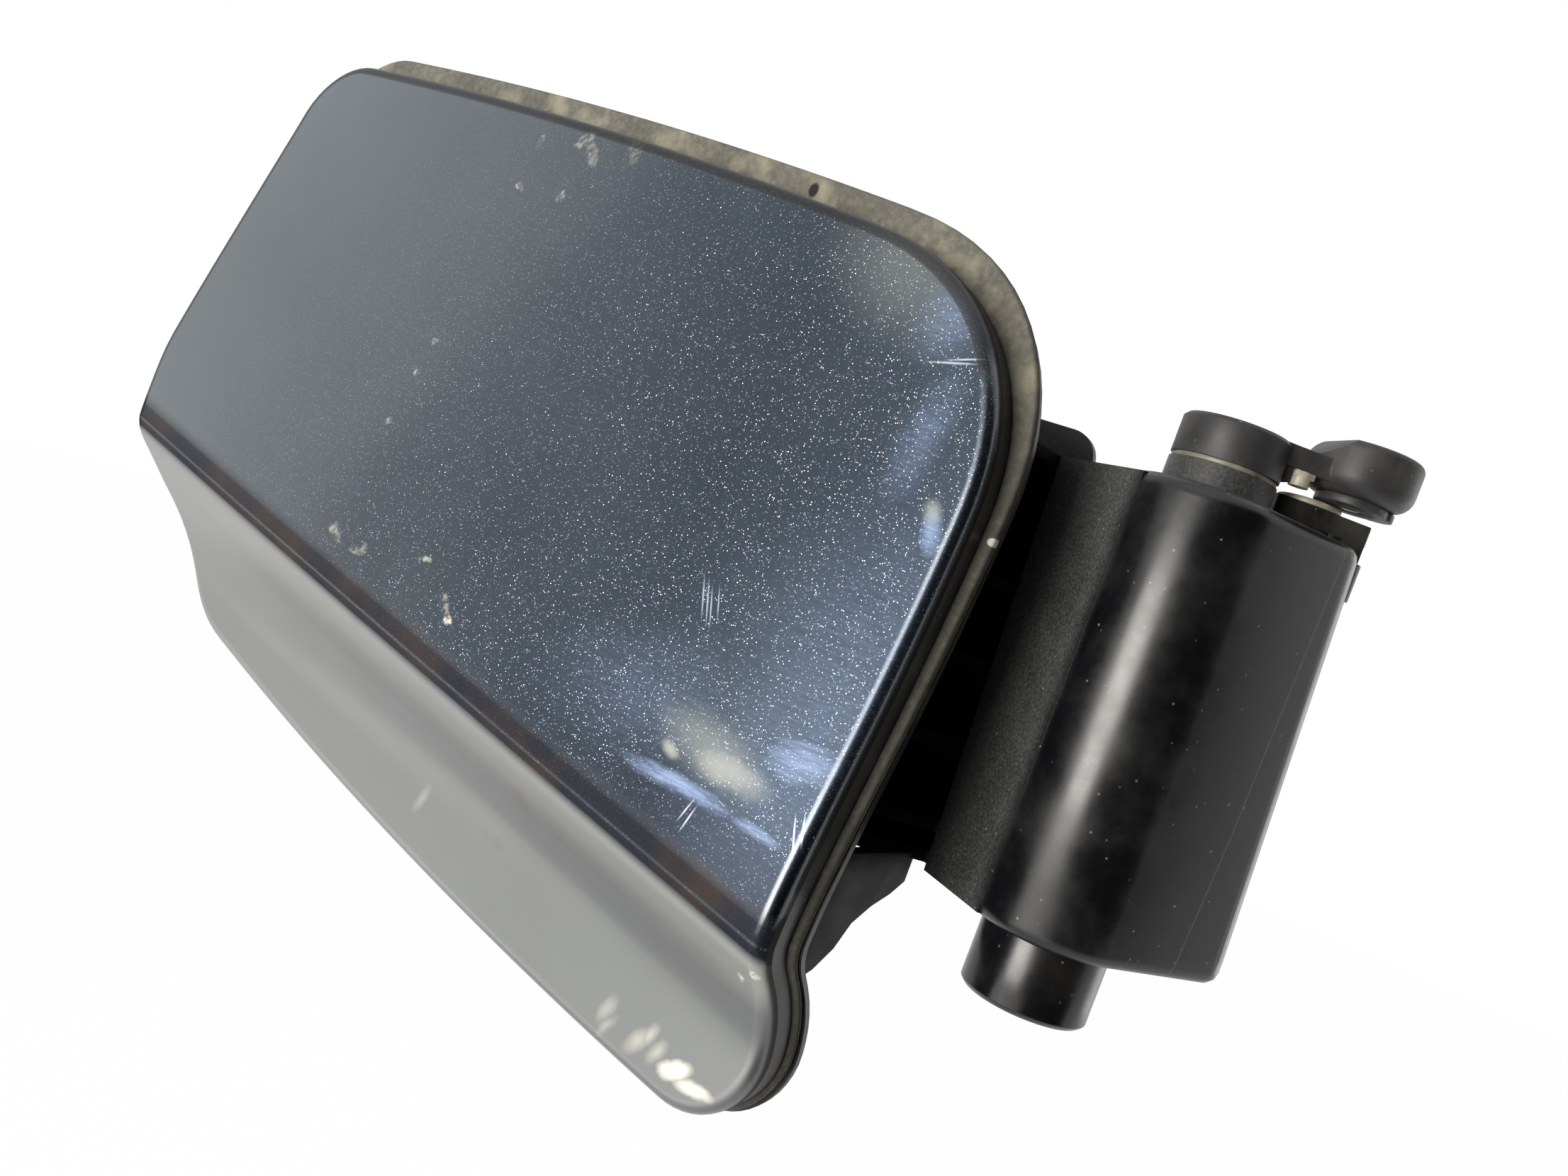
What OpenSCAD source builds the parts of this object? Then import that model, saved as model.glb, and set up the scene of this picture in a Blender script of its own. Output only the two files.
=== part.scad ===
// Fuel filler flap of a passenger car, with its gooseneck hinge and spring catch.
// Frame: Z runs up the hinge axis from the middle of the lower trunnion, the painted
// face looks along -Y, and the panel lies on the -X side of the axis.

/* [Panel] */
// Width of the painted panel
panel_w = 191.6; // [160:1:210]
// Gap between the hinge axis and the panel's hinge edge, along X
hinge_gap_x = 21; // [20:0.5:30]
// Panel height above the crease at the free edge
upper_free_h = 88.8; // [75:0.1:100]
// Panel height above the crease at the hinge edge
upper_hinge_h = 103.4; // [90:0.1:115]
// Panel height below the crease at the free edge
lower_free_h = 32.7; // [30:0.1:40]
// Panel height below the crease at the hinge edge
lower_hinge_h = 32.6; // [28:0.1:40]
// Height of the crease over the trunnion's middle, at the hinge edge
crease_z_hinge = -6.2; // [-10:0.2:0]
// Rise of the crease from the hinge edge to the free edge
crease_rise = 32.2; // [20:0.2:40]
// Distance of the crease in front of the hinge axis, at the hinge edge
crease_out_hinge = 48.4; // [46:0.1:54]
// Distance of the crease in front of the hinge axis, at the free edge
crease_out_free = 40; // [38:0.1:50]
// Inboard lean of the upper face, rise over run
face_lean = 0.245; // [0.15:0.005:0.28]
// Height over which the upper face turns into its lean
face_soft = 12; // [6:1:20]
// Outward crown of the face half way along the panel
face_crown = 1.2; // [0:0.1:3]
// Depth of the cove under the crease, at the free edge
cove_free_d = 22.4; // [14:0.2:26]
// Depth of the cove under the crease, at the hinge edge
cove_hinge_d = 12.4; // [8:0.2:16]
// Inboard run of the cove for each millimetre of height
cove_slope = 1.05; // [0.7:0.05:1.4]
// Rounding of the crease
crease_r = 3; // [1:0.5:6]
// Rounding at the foot of the cove
cove_r = 8; // [3:0.5:12]
// Bulge of the top edge over its chord
top_bulge = 3.7; // [0:0.2:8]
// Bulge of the bottom edge over its chord
bottom_bulge = 3.9; // [0:0.2:8]
// Corner radius at the top of the free edge
corner_top_free = 14; // [8:1:20]
// Corner radius at the top of the hinge edge
corner_top_hinge = 36; // [26:1:44]
// Corner radius at the bottom of the free edge
corner_low_free = 25; // [16:1:28]
// Corner radius at the bottom of the hinge edge
corner_low_hinge = 15; // [10:1:20]
// Squareness of the corner at the top of the hinge edge, 2 for a round one
corner_square = 2.4; // [2:0.1:3]
// Inward tuck of the free edge at the crease
free_tuck = 2.6; // [0:0.2:4]
// Height of that tuck above and below the crease
free_tuck_h = 20; // [14:1:30]
// Inward lean of the hinge edge over 100 mm of height, going down
hinge_tilt = 1.4; // [0:0.1:3]

/* [Shells] */
// Wall of the painted panel
skin_t = 1.2; // [0.8:0.1:2]
// Radius of the panel's rolled edge
skin_edge_r = 2; // [1.5:0.1:3]
// Depth of the panel's turned-in edge
skin_return = 3.8; // [3.2:0.1:4.6]
// Wall of the inner carrier's plate
carrier_t = 2.2; // [1.6:0.1:3.5]
// Width of the carrier's upright wall
carrier_wall = 3; // [2:0.1:5]
// Inset of the carrier's wall from the panel outline
carrier_inset = 2.4; // [2.2:0.1:3.5]
// Set-back of the sealing lip behind the panel face
lip_back = 8.6; // [6:0.1:10]
// Thickness of the sealing lip
lip_t = 2.2; // [1.5:0.1:4]
// Reach of the lip past the panel at the top
lip_top = 5.6; // [2:0.1:8]
// Reach of the lip past the panel at the hinge edge
lip_hinge = 1.7; // [1:0.1:4]
// Loss of that reach over 100 mm of height, going down
lip_taper = 1.5; // [0:0.1:2]
// Reach of the lip past the panel at the free edge
lip_free = 2.6; // [1:0.1:5]
// Reach of the lip past the panel at the bottom
lip_low = 1; // [0.5:0.1:4]
// Thickness of the carrier flange behind the lip
flange_t = 1.8; // [1:0.1:3]

/* [Hinge arm] */
// Radius of the gooseneck's bend round the hinge axis
bend_r = 13.8; // [12.5:0.1:16]
// Radius of the arm's inboard end
end_r = 5.5; // [4.5:0.1:7]
// Distance from the hinge axis to the link's second lobe and the arm's inboard end
lobe_x = 21.7; // [20.5:0.1:24]
// Angle of the link in plan, from the X axis
link_angle = 38; // [30:1:46]
// Length of trunnion that shows under the arm
trunnion_show = 11.6; // [7:0.1:14]
// Shift of the arm's inboard end to the hinge axis at its top, and away from it at its foot
end_shift = 1.6; // [0:0.1:2.4]
// Height of the arm
arm_h = 74.6; // [68:0.2:84]
// Edge rounding of the arm
arm_fillet = 2.4; // [1:0.1:3]
// Wall of the arm
arm_wall = 2.6; // [2:0.1:3.5]
// Reach of the arm's front face from the bend, along the face
face_reach = 24.3; // [18:0.1:28]
// Lean of the face's free end, its foot nearer the hinge axis
face_slant = 4.1; // [0:0.1:6]
// Direction that the arm's front face looks, in plan
face_angle = 234.4; // [230:0.2:240]
// Thickness of a channel rib
rib_t = 1.8; // [1.2:0.1:3]
// Spacing of the channel ribs
rib_pitch = 14.4; // [12:0.2:16]
// Number of channel ribs
rib_count = 4; // [2:1:4]
// Radius of the boss under the link
boss_r = 8.7; // [8:0.1:10]
// Height of the boss
boss_h = 3.9; // [2:0.1:5]

/* [Arm root] */
// Height of the root plate's seat over the carrier's plate
seat_h = 0.8; // [0.6:0.1:2]
// Thickness of the root plate
root_t = 3.2; // [2.5:0.1:5]
// Length of the root plate along X
root_w = 62; // [52:1:66]
// Gap between the hinge axis and the root plate
root_gap_x = 33; // [31:0.5:35]
// Lowest edge of the root plate over the trunnion's middle
root_z0 = 14; // [12:0.5:18]
// Height of the root plate
root_h = 58; // [50:1:62]
// Radius of an arm screw
screw_r = 2.1; // [1.5:0.1:2.5]
// Radius of an arm screw's head
screw_head_r = 4.2; // [3.5:0.1:5]

/* [Spindle and link] */
// Radius of the lower trunnion
trunnion_r = 10.5; // [9.5:0.1:11.4]
// Length of trunnion inside the arm
trunnion_in = 12; // [8:0.5:16]
// Radius of the spindle shaft
shaft_r = 6; // [5:0.1:7]
// Radial running clearance of the spindle
run_gap = 0.05; // [0.02:0.01:0.09]
// Radius of the hole up the trunnion
core_r = 8; // [6:0.1:8.8]
// Depth of the hole up the trunnion
core_d = 16; // [12:0.5:20]
// Thickness of the trunnion's end plug
plug_t = 2.6; // [2:0.1:4]
// Thickness of the sliding washer
washer_t = 0.8; // [0.5:0.1:1.5]
// Height of the link's cap
cap_h = 6.6; // [6:0.1:9]
// Radius of the link's lobe
lobe_r = 8.8; // [8:0.1:10]
// Height of the link's lobe
lobe_h = 8.4; // [7.5:0.1:11]
// Lift of the lobe's underside over the cap's underside
lobe_lift = 2.3; // [2:0.1:3.5]
// Width of the link's neck
neck_w = 9.4; // [7:0.1:12]
// Height of the link's neck
neck_h = 3.4; // [2.5:0.1:4.5]
// Lift of the neck over the cap's underside
neck_lift = 3.3; // [3:0.1:4]
// Radius of the spindle's keyed head in the link
key_r = 4.6; // [3.6:0.1:5.4]
// Depth of the spindle's keyed head in the link
key_d = 4.6; // [3.5:0.1:5]

/* [Catch] */
// Thickness of the link's catch plate
catch_t = 1.4; // [1:0.1:1.8]
// Reach of the catch plate's tab past the lobe centre
catch_reach = 7.2; // [6.4:0.1:9]
// Gap between what turns with the arm and what stays with the link
turn_gap = 0.4; // [0.3:0.05:0.6]
// Wire radius of the torsion spring
wire_r = 0.6; // [0.4:0.05:0.7]
// Turns of the torsion spring
spring_turns = 6; // [4:1:8]
// Mean radius of the torsion spring
spring_r = 3.3; // [3:0.1:3.6]
// Distance of the catch pin from the link's lobe, towards the hinge axis
pivot_back = 3.4; // [3:0.1:4]
// Distance of the catch pin from the link's middle line, inboard
pivot_out = 6.4; // [6:0.1:7]
// Radius of the catch lever's steel pin
pin_r = 1.2; // [0.9:0.1:1.5]

/* [Carrier's back] */
// Distance of the latch striker from the free edge
striker_in = 30; // [26:1:34]
// Height of the latch striker's middle over the crease
striker_rise = 40; // [34:1:46]
// Height of the striker's plate
striker_h = 28; // [24:1:32]
// Thickness of the striker's plate
plate_t = 2.6; // [2:0.1:4]
// Height and reach of the striker's bar
bar_h = 16; // [12:1:20]
// Thickness of the striker's bar
bar_t = 4; // [3:0.5:5]
// Distance of the rest buffers from the free edge
buffer_in = 21; // [18:1:24]
// Radius of a rest buffer
buffer_r = 4.5; // [3.5:0.5:6]
// Height of a rest buffer
buffer_h = 7.4; // [5:0.1:9]
// Width and height of a skin clip
clip_w = 8; // [6:1:10]

/* [Hidden] */

$fn = 48;
eps = 0.01;

// Panel outline
hinge_x = -hinge_gap_x;
free_x = hinge_x - panel_w;
crease_z_free = crease_z_hinge + crease_rise;
hull_fn = 32;

function across(x) = (x - free_x) / panel_w;
function chord(a, b, x) = a + (b - a) * across(x);
function bow(x) = let (u = across(x)) 4 * u * (1 - u);
function crease_z(x) = chord(crease_z_free, crease_z_hinge, x);
function top_z(x) = crease_z(x) + chord(upper_free_h, upper_hinge_h, x) + top_bulge * bow(x);
function low_z(x) = crease_z(x) - chord(lower_free_h, lower_hinge_h, x) - bottom_bulge * bow(x);

// Panel face: an upper face that leans inboard, a crease and a cove under it
function soft_max(a, b, r) = max(a, b) + pow(max(r - abs(a - b), 0), 2) / (4 * r);
function soft_min(a, b, r) = -soft_max(-a, -b, r);
function crease_y(x) = -chord(crease_out_free, crease_out_hinge, x) - face_crown * bow(x);
function face_y(x, z) =
    let (
        h = z - crease_z(x),
        upper = crease_y(x) + face_lean * (sqrt(h * h + face_soft * face_soft) - face_soft),
        slope = crease_y(x) - cove_slope * h,
        foot = crease_y(x) + chord(cove_free_d, cove_hinge_d, x)
    )
    soft_min(soft_max(h > 0 ? upper : crease_y(x), slope, crease_r), foot, cove_r);

// Outline grown by g = [free, hinge, top, low]; negative values shrink it
function even(g) = [g, g, g, g, 0];
function corner(r, a, b) = max(r + min(a, b), 1);

// Rows of the grid, from the top edge to the bottom edge: kind and value
top_steps = [0, 12, 24, 36, 48, 62, 76, 90];
low_steps = [90, 70, 55, 40, 27, 14, 0];
crease_steps = [20, 11, 5, 2, 0, -1.5, -3.5];
mid_steps = [0.25, 0.5, 0.75];
row_kinds = concat(
    [for (a = top_steps) ["top", a]],
    [for (f = mid_steps) ["mid", f]],
    [for (h = crease_steps) ["crease", h]],
    [for (a = low_steps) ["low", a]]
);
rows = len(row_kinds);
top_run = corner_top_hinge;
low_run = corner_low_free;

// Distance of a row under the top edge, for an outline grown by g
function row_drop(g, row) = (top_run + g[2]) * (1 - cos(row[1]));
function row_lift(g, row) = (low_run + g[3]) * (1 - cos(row[1]));
function row_z(g, row, x) =
    row[0] == "top" ? top_z(x) + g[2] - row_drop(g, row)
    : row[0] == "low" ? low_z(x) - g[3] + row_lift(g, row)
    : row[0] == "crease" ? crease_z(x) + row[1]
    : (top_z(x) - top_run) * (1 - row[1]) + (crease_z(x) + crease_steps[0]) * row[1];
function arc_in(r, t, p) = t >= r ? 0 : r - r * pow(max(1 - pow((r - t) / r, p), 0), 1 / p);
function free_edge(g, row) =
    let (h = (row_z(g, row, free_x) - crease_z_free) / free_tuck_h)
    free_x - g[0] + free_tuck * pow(max(1 - h * h, 0), 2);
function hinge_edge(g, row) =
    let (drop = upper_hinge_h * 0.72 - row_z(g, row, hinge_x) + crease_z_hinge)
    hinge_x + g[1] - (hinge_tilt + g[4]) * drop / 100;
function free_end(g, row) =
    free_edge(g, row)
    + (row[0] == "top" ? arc_in(corner(corner_top_free, g[0], g[2]), row_drop(g, row), 2)
    : row[0] == "low" ? arc_in(corner(corner_low_free, g[0], g[3]), row_lift(g, row), 2) : 0);
function hinge_end(g, row) =
    hinge_edge(g, row)
    - (row[0] == "top"
        ? arc_in(corner(corner_top_hinge, g[1], g[2]), row_drop(g, row), corner_square)
    : row[0] == "low" ? arc_in(corner(corner_low_hinge, g[1], g[3]), row_lift(g, row), 2) : 0);

// Columns of the grid as shares of a row, with the seat of the arm root between two pairs
columns = concat(
    [for (i = [0:7]) i / 16],
    [0.49, 0.56, 0.63, 0.7, 0.77, 0.82, 0.87, 0.91, 0.95, 1]
);
cols = len(columns);

function grid_x(g, i, j) =
    let (a = free_end(g, row_kinds[i]), b = hinge_end(g, row_kinds[i])) a + (b - a) * columns[j];
function grid_point(g, i, j, back) =
    let (x = grid_x(g, i, j), z = row_z(g, row_kinds[i], x)) [x, face_y(x, z) + back, z];

// The loop of grid indices round the outline, clockwise seen from the front
loop_index = concat(
    [for (j = [0:cols - 1]) [0, j]],
    [for (i = [1:rows - 1]) [i, cols - 1]],
    [for (j = [cols - 2:-1:0]) [rows - 1, j]],
    [for (i = [rows - 2:-1:1]) [i, 0]]
);
loop_n = len(loop_index);
function loop_points(g, back) = [for (q = loop_index) grid_point(g, q[0], q[1], back)];
function sheet_points(g, back) =
    [for (i = [0:rows - 1]) for (j = [0:cols - 1]) grid_point(g, i, j, back)];

// Closed shell between a front sheet and a back sheet, with loops of points between them
function sheet_faces(base, front) =
    [for (i = [0:rows - 2]) for (j = [0:cols - 2]) for (half = [0, 1])
        let (
            a = base + i * cols + j,
            b = a + 1,
            c = a + cols + 1,
            d = a + cols,
            tri = half == 0 ? [a, b, c] : [a, c, d]
        )
        front ? tri : [tri[2], tri[1], tri[0]]];
function loop_at(base, k) = base + loop_index[k][0] * cols + loop_index[k][1];
function band_faces(from, to) =
    [for (k = [0:loop_n - 1]) for (half = [0, 1])
        let (n = (k + 1) % loop_n)
        half == 0 ? [from[k], to[k], to[n]] : [from[k], to[n], from[n]]];
module shell(front, loops, back) {
    cells = rows * cols;
    loop_base = [for (k = [0:len(loops) - 1]) cells + k * loop_n];
    back_base = cells + len(loops) * loop_n;
    front_ring = [for (k = [0:loop_n - 1]) loop_at(0, k)];
    back_ring = [for (k = [0:loop_n - 1]) loop_at(back_base, k)];
    rings = concat([front_ring],
        [for (b = loop_base) [for (k = [0:loop_n - 1]) b + k]], [back_ring]);
    polyhedron(
        points = concat(front, [for (l = loops) each l], back),
        faces = concat(
            sheet_faces(0, true),
            [for (r = [0:len(rings) - 2]) each band_faces(rings[r], rings[r + 1])],
            sheet_faces(back_base, false)
        ),
        convexity = 10
    );
}

// Closed ring with a section of loops
module lip_ring(loops) {
    n = len(loops);
    ring = [for (r = [0:n - 1]) [for (k = [0:loop_n - 1]) r * loop_n + k]];
    polyhedron(
        points = [for (l = loops) each l],
        faces = [for (r = [0:n - 1]) each band_faces(ring[r], ring[(r + 1) % n])],
        convexity = 10
    );
}

inset_skin = even(-skin_t);
inset_roll = even(-skin_edge_r);
inset_carrier = even(-carrier_inset);
inset_tray = even(-carrier_inset - carrier_wall);
wall_out = even(-0.4);
wall_step = skin_return + 0.3;
lip_reach = [lip_free, lip_hinge, lip_top, lip_low, lip_taper];
lip_round = 0.6;
flange_reach = lip_reach - [0.4, 0.2, 0.4, 0, lip_taper * 0.5];

// Depth of the rolled edge at distance d inside the outline
function roll(d) = skin_edge_r - sqrt(max(skin_edge_r * skin_edge_r - pow(skin_edge_r - d, 2), 0));

module outer_skin() {
    color("#2b3242")
    shell(
        sheet_points(inset_carrier, 0),
        concat(
            [for (f = [1, 0.6, 0.3, 0.1])
                loop_points(even(-f * skin_edge_r), roll(f * skin_edge_r))],
            [
                loop_points(even(0), skin_edge_r),
                loop_points(even(0), skin_return),
                loop_points(inset_skin, skin_return),
                loop_points(inset_skin, skin_t)
            ]
        ),
        sheet_points(inset_carrier, skin_t)
    );
}

// Seat of the arm root: grid rows and columns whose back points lie in one plane
seat_rows = [6, 13];
seat_cols = [9, 16];
function in_seat(i, j) =
    i >= seat_rows[0] && i <= seat_rows[1] && j >= seat_cols[0] && j <= seat_cols[1];
function tray_back(x, z) = face_y(x, z) + skin_t + carrier_t;
root_x1 = -root_gap_x;
root_x0 = root_x1 - root_w;
root_mid = [(root_x0 + root_x1) / 2, root_z0 + root_h / 2];
lean_angle = atan(face_lean);
function seat_y(z) = tray_back(root_mid[0], root_mid[1]) + seat_h + face_lean * (z - root_mid[1]);
function tray_point(i, j) =
    let (p = grid_point(inset_tray, i, j, skin_t + carrier_t))
    in_seat(i, j) ? [p[0], seat_y(p[2]), p[2]] : p;
tray_points = [for (i = [0:rows - 1]) for (j = [0:cols - 1]) tray_point(i, j)];

module inner_carrier() {
    back = lip_back + lip_t;
    color("#1c1d1f")
    shell(
        sheet_points(inset_carrier, skin_t),
        [
            loop_points(inset_carrier, wall_step),
            loop_points(wall_out, wall_step),
            loop_points(wall_out, back),
            loop_points(flange_reach, back),
            loop_points(flange_reach, back + flange_t),
            loop_points(inset_tray, back + flange_t)
        ],
        tray_points
    );
}

module sealing_lip() {
    back = lip_back + lip_t;
    color("#77756b")
    lip_ring([
        loop_points(wall_out, lip_back),
        loop_points(wall_out, back),
        loop_points(lip_reach - even(lip_round), back),
        loop_points(lip_reach, back - lip_round),
        loop_points(lip_reach, lip_back + lip_round),
        loop_points(lip_reach - even(lip_round), lip_back)
    ]);
}

// Hinge arm
journal_r = trunnion_r - 0.3;
thrust_gap = 0.1;
rim_cut = 0.8;
trunnion_z0 = -trunnion_show / 2;
arm_z0 = trunnion_z0 + trunnion_show;
arm_z1 = arm_z0 + arm_h;
boss_z1 = arm_z1 + boss_h;
cap_z0 = boss_z1 + washer_t;
face_dir = [cos(face_angle), sin(face_angle)];
face_run = [face_dir[1], -face_dir[0]];
face_touch = bend_r * face_dir;
face_far = face_touch + face_reach * face_run;

module link_frame() {
    rotate([0, 0, link_angle]) children();
}

// Upright disc with rounded rims
module round_disc(r, z0, z1, fillet) {
    translate([0, 0, z0])
    rotate_extrude($fn = hull_fn)
    polygon(concat(
        [[0, 0]],
        [for (a = [0, 30, 60, 90]) [r - fillet + fillet * sin(a), fillet - fillet * cos(a)]],
        [for (a = [0, 30, 60, 90])
            [r - fillet + fillet * cos(a), z1 - z0 - fillet + fillet * sin(a)]],
        [[0, z1 - z0]]
    ));
}

module arm_head() {
    link_frame()
    hull() {
        round_disc(bend_r, arm_z0, arm_z1, arm_fillet);
        translate([lobe_x + end_shift * 0.9, 0, 0])
            round_disc(end_r, arm_z0 + 1.2, arm_z0 + 8, arm_fillet);
        translate([lobe_x - end_shift, 0, 0]) round_disc(end_r, arm_z1 - 8, arm_z1, arm_fillet);
    }
}

// Frame of the leaning seat, with Y away from the panel
module seat_frame(x, z) {
    translate([x, seat_y(z), z]) rotate([-lean_angle, 0, 0]) children();
}
front_cut = 60;
module seat_cutter() {
    seat_frame(root_x0 - 40, root_mid[1])
    translate([0, -front_cut, -front_cut * 1.5]) cube([root_w + 80, front_cut, front_cut * 3]);
}

// Plan of the neck between the root plate and the head
neck_y0 = -46;
neck_back = [
    [root_x0 + 20, neck_y0],
    [root_x0 + 30, -26],
    [-54, -8],
    [-44, 6],
    [-34, 12.6],
    [-20, bend_r + 0.4]
];
neck_inner = [for (p = neck_back) p + [arm_wall * 0.9, -arm_wall * 0.7]];
neck_root = [[root_x1 - 5, -12], [root_x1 - 5, neck_y0]];
flange_front = [[face_far[0] - 0.6, -6.5], [root_x1 - 4.4, -6.5]];
module neck_plan(front) {
    polygon(concat(
        neck_back, [[-2, bend_r - 1], [0, 0], face_touch, face_far], front, neck_root
    ));
}
module channel_plan() {
    polygon(concat(
        neck_inner,
        [[-9, 6], face_touch + arm_wall * 1.4 * [-face_dir[0] + 0.4, -face_dir[1]],
         face_far - arm_wall * face_dir,
         face_far + 0.2 * face_run,
         [face_far[0] + 3, -16], [root_x1 + 2, neck_y0 - 1]]
    ));
}

rib_z0 = arm_z0 + 6.3;
module neck() {
    difference() {
        translate([0, 0, arm_z0 + 0.6]) linear_extrude(arm_h - 1.2) neck_plan(flange_front);
        translate([0, 0, arm_z0 + arm_wall]) linear_extrude(arm_h - 2 * arm_wall) channel_plan();
        translate([face_far[0], face_far[1], arm_z1])
        rotate([0, 0, face_angle + 90])
        rotate([0, -face_slant, 0])
        translate([-6, -8, -arm_h - 4]) cube([6, arm_wall + 8.6, arm_h + 3.2 - arm_wall]);
    }
    for (i = [0:rib_count - 1]) {
        translate([0, 0, rib_z0 + i * rib_pitch])
        linear_extrude(rib_t)
        intersection() {
            neck_plan([]);
            channel_plan();
        }
    }
}

// Taller back wall with a rounded end, seen over the arm
crown_h = 5.4;
crown_r = 5;
module back_crown() {
    translate([-40, 11.2, arm_z1 - 8])
    rotate([0, 0, 6])
    rotate([90, 0, 0])
    linear_extrude(2.2)
    union() {
        square([9.6, 8 + crown_h]);
        square([9.6 + crown_r, 8 + crown_h - crown_r]);
        translate([9.6, 8 + crown_h - crown_r]) circle(crown_r);
    }
}

// Gusset from the arm's underside down the back of the carrier
gusset_x = hinge_x - hinge_tilt - carrier_inset - carrier_wall - 0.4 - arm_wall;
gusset_rear = [[5, 1.6], [5, -3.8], [1, -6], [-4.5, -8], [-9.5, -10.8], [-12.6, -15.1],
    [-17.4, -18.4], [-24, -20.8]];
function gusset_front(z) =
    max(tray_back(gusset_x, z), tray_back(gusset_x + arm_wall, z)) + 0.2;
module gusset() {
    translate([gusset_x, 0, 0])
    rotate([90, 0, 90])
    linear_extrude(arm_wall)
    polygon(concat(
        [for (p = gusset_rear) [p[0], arm_z0 + p[1]]],
        [for (dz = [-22:2:0]) [gusset_front(arm_z0 + dz), arm_z0 + dz]],
        [[seat_y(arm_z0) + 3, arm_z0 + 1.6]]
    ));
}

module root_plate() {
    seat_frame(root_x0, root_mid[1])
    translate([0, 0, -root_h / 2]) cube([root_w, root_t, root_h]);
}

screw_xs = [root_x0 + 6, root_x0 + 16];
screw_zs = [-root_h / 2 + 7, root_h / 2 - 7];
module at_screws() {
    for (x = screw_xs, z = screw_zs) {
        seat_frame(x, root_mid[1]) translate([0, root_t, z]) rotate([-90, 0, 0]) children();
    }
}

// Pocket for the spring catch, open to the inboard side, the top and the end
pocket_x0 = bend_r - 3.6;
pocket_y0 = 0.6;
pocket_z0 = arm_z0 + 14;
module catch_pocket() {
    link_frame() {
        translate([pocket_x0, pocket_y0, pocket_z0]) cube([lobe_x + end_r, 20, arm_h]);
        translate([pocket_x0 + 1, -2.6, pocket_z0]) cube([lobe_x - pocket_x0 + 1.6, 20, arm_h]);
    }
}

module hinge_arm() {
    color("#17181a")
    difference() {
        union() {
            arm_head();
            neck();
            back_crown();
            root_plate();
            gusset();
            translate([0, 0, arm_z1 - 1]) cylinder(r = boss_r, h = boss_h + 1);
        }
        seat_cutter();
        catch_pocket();
        translate([0, 0, arm_z0 - 1]) cylinder(r = journal_r + run_gap, h = trunnion_in + 1);
        translate([0, 0, arm_z0]) cylinder(r = shaft_r + run_gap, h = arm_h + boss_h + 1);
        at_screws() translate([0, 0, -root_t - 1]) cylinder(r = screw_r + 0.1, h = root_t + 2);
    }
}

module arm_screws() {
    color("#8d9094")
    at_screws() {
        cylinder(r = screw_head_r, h = 2.4);
        translate([0, 0, -root_t]) cylinder(r = screw_r, h = root_t + eps);
    }
}

// Spindle, fixed to the link by its keyed head
key_flat = 0.8;
screw_bore_r = 1.6;
module hinge_spindle() {
    color("#141517")
    difference() {
        union() {
            translate([0, 0, trunnion_z0]) {
                cylinder(r1 = trunnion_r - rim_cut, r2 = trunnion_r, h = rim_cut);
                translate([0, 0, rim_cut]) cylinder(r = trunnion_r, h = trunnion_show - rim_cut - thrust_gap);
            }
            cylinder(r = journal_r, h = arm_z0 + trunnion_in - thrust_gap);
            cylinder(r = shaft_r, h = boss_z1);
            intersection() {
                cylinder(r = key_r, h = cap_z0 + key_d);
                translate([-key_r, -key_r, 0]) cube([2 * key_r - key_flat, 2 * key_r, cap_z0 + key_d]);
            }
        }
        translate([0, 0, trunnion_z0 - 1]) cylinder(r = core_r, h = core_d + 1);
        translate([0, 0, cap_z0 - 8]) cylinder(r = screw_bore_r, h = key_d + 9);
    }
}

module trunnion_plug() {
    color("#1d1e20")
    translate([0, 0, trunnion_z0 + 0.6]) difference() {
        cylinder(r = core_r, h = plug_t);
        translate([0, 0, -1]) cylinder(r = core_r * 0.45, h = 1.8);
    }
}

module sliding_washer() {
    color("#d9d6c0")
    translate([0, 0, boss_z1]) difference() {
        cylinder(r = boss_r - 0.3, h = washer_t);
        translate([0, 0, -1]) cylinder(r = key_r + 0.3, h = washer_t + 2);
    }
}

// Link: cap over the hinge axis, neck and raised lobe
lobe_z0 = cap_z0 + lobe_lift;
lobe_z1 = lobe_z0 + lobe_h;
neck_z0 = cap_z0 + neck_lift;
cap_z1 = cap_z0 + cap_h;
head_recess_r = 3.4;
head_recess_d = 1.6;

module lobe_body() {
    under = 3;
    over = 1.4;
    translate([0, 0, lobe_z0])
    rotate_extrude()
    polygon(concat(
        [[0, 0]],
        [for (a = [0:15:90]) [lobe_r - under + under * sin(a), under - under * cos(a)]],
        [for (a = [0:15:90]) [lobe_r - over + over * cos(a), lobe_h - over + over * sin(a)]],
        [[0, lobe_h]]
    ));
}

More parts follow.
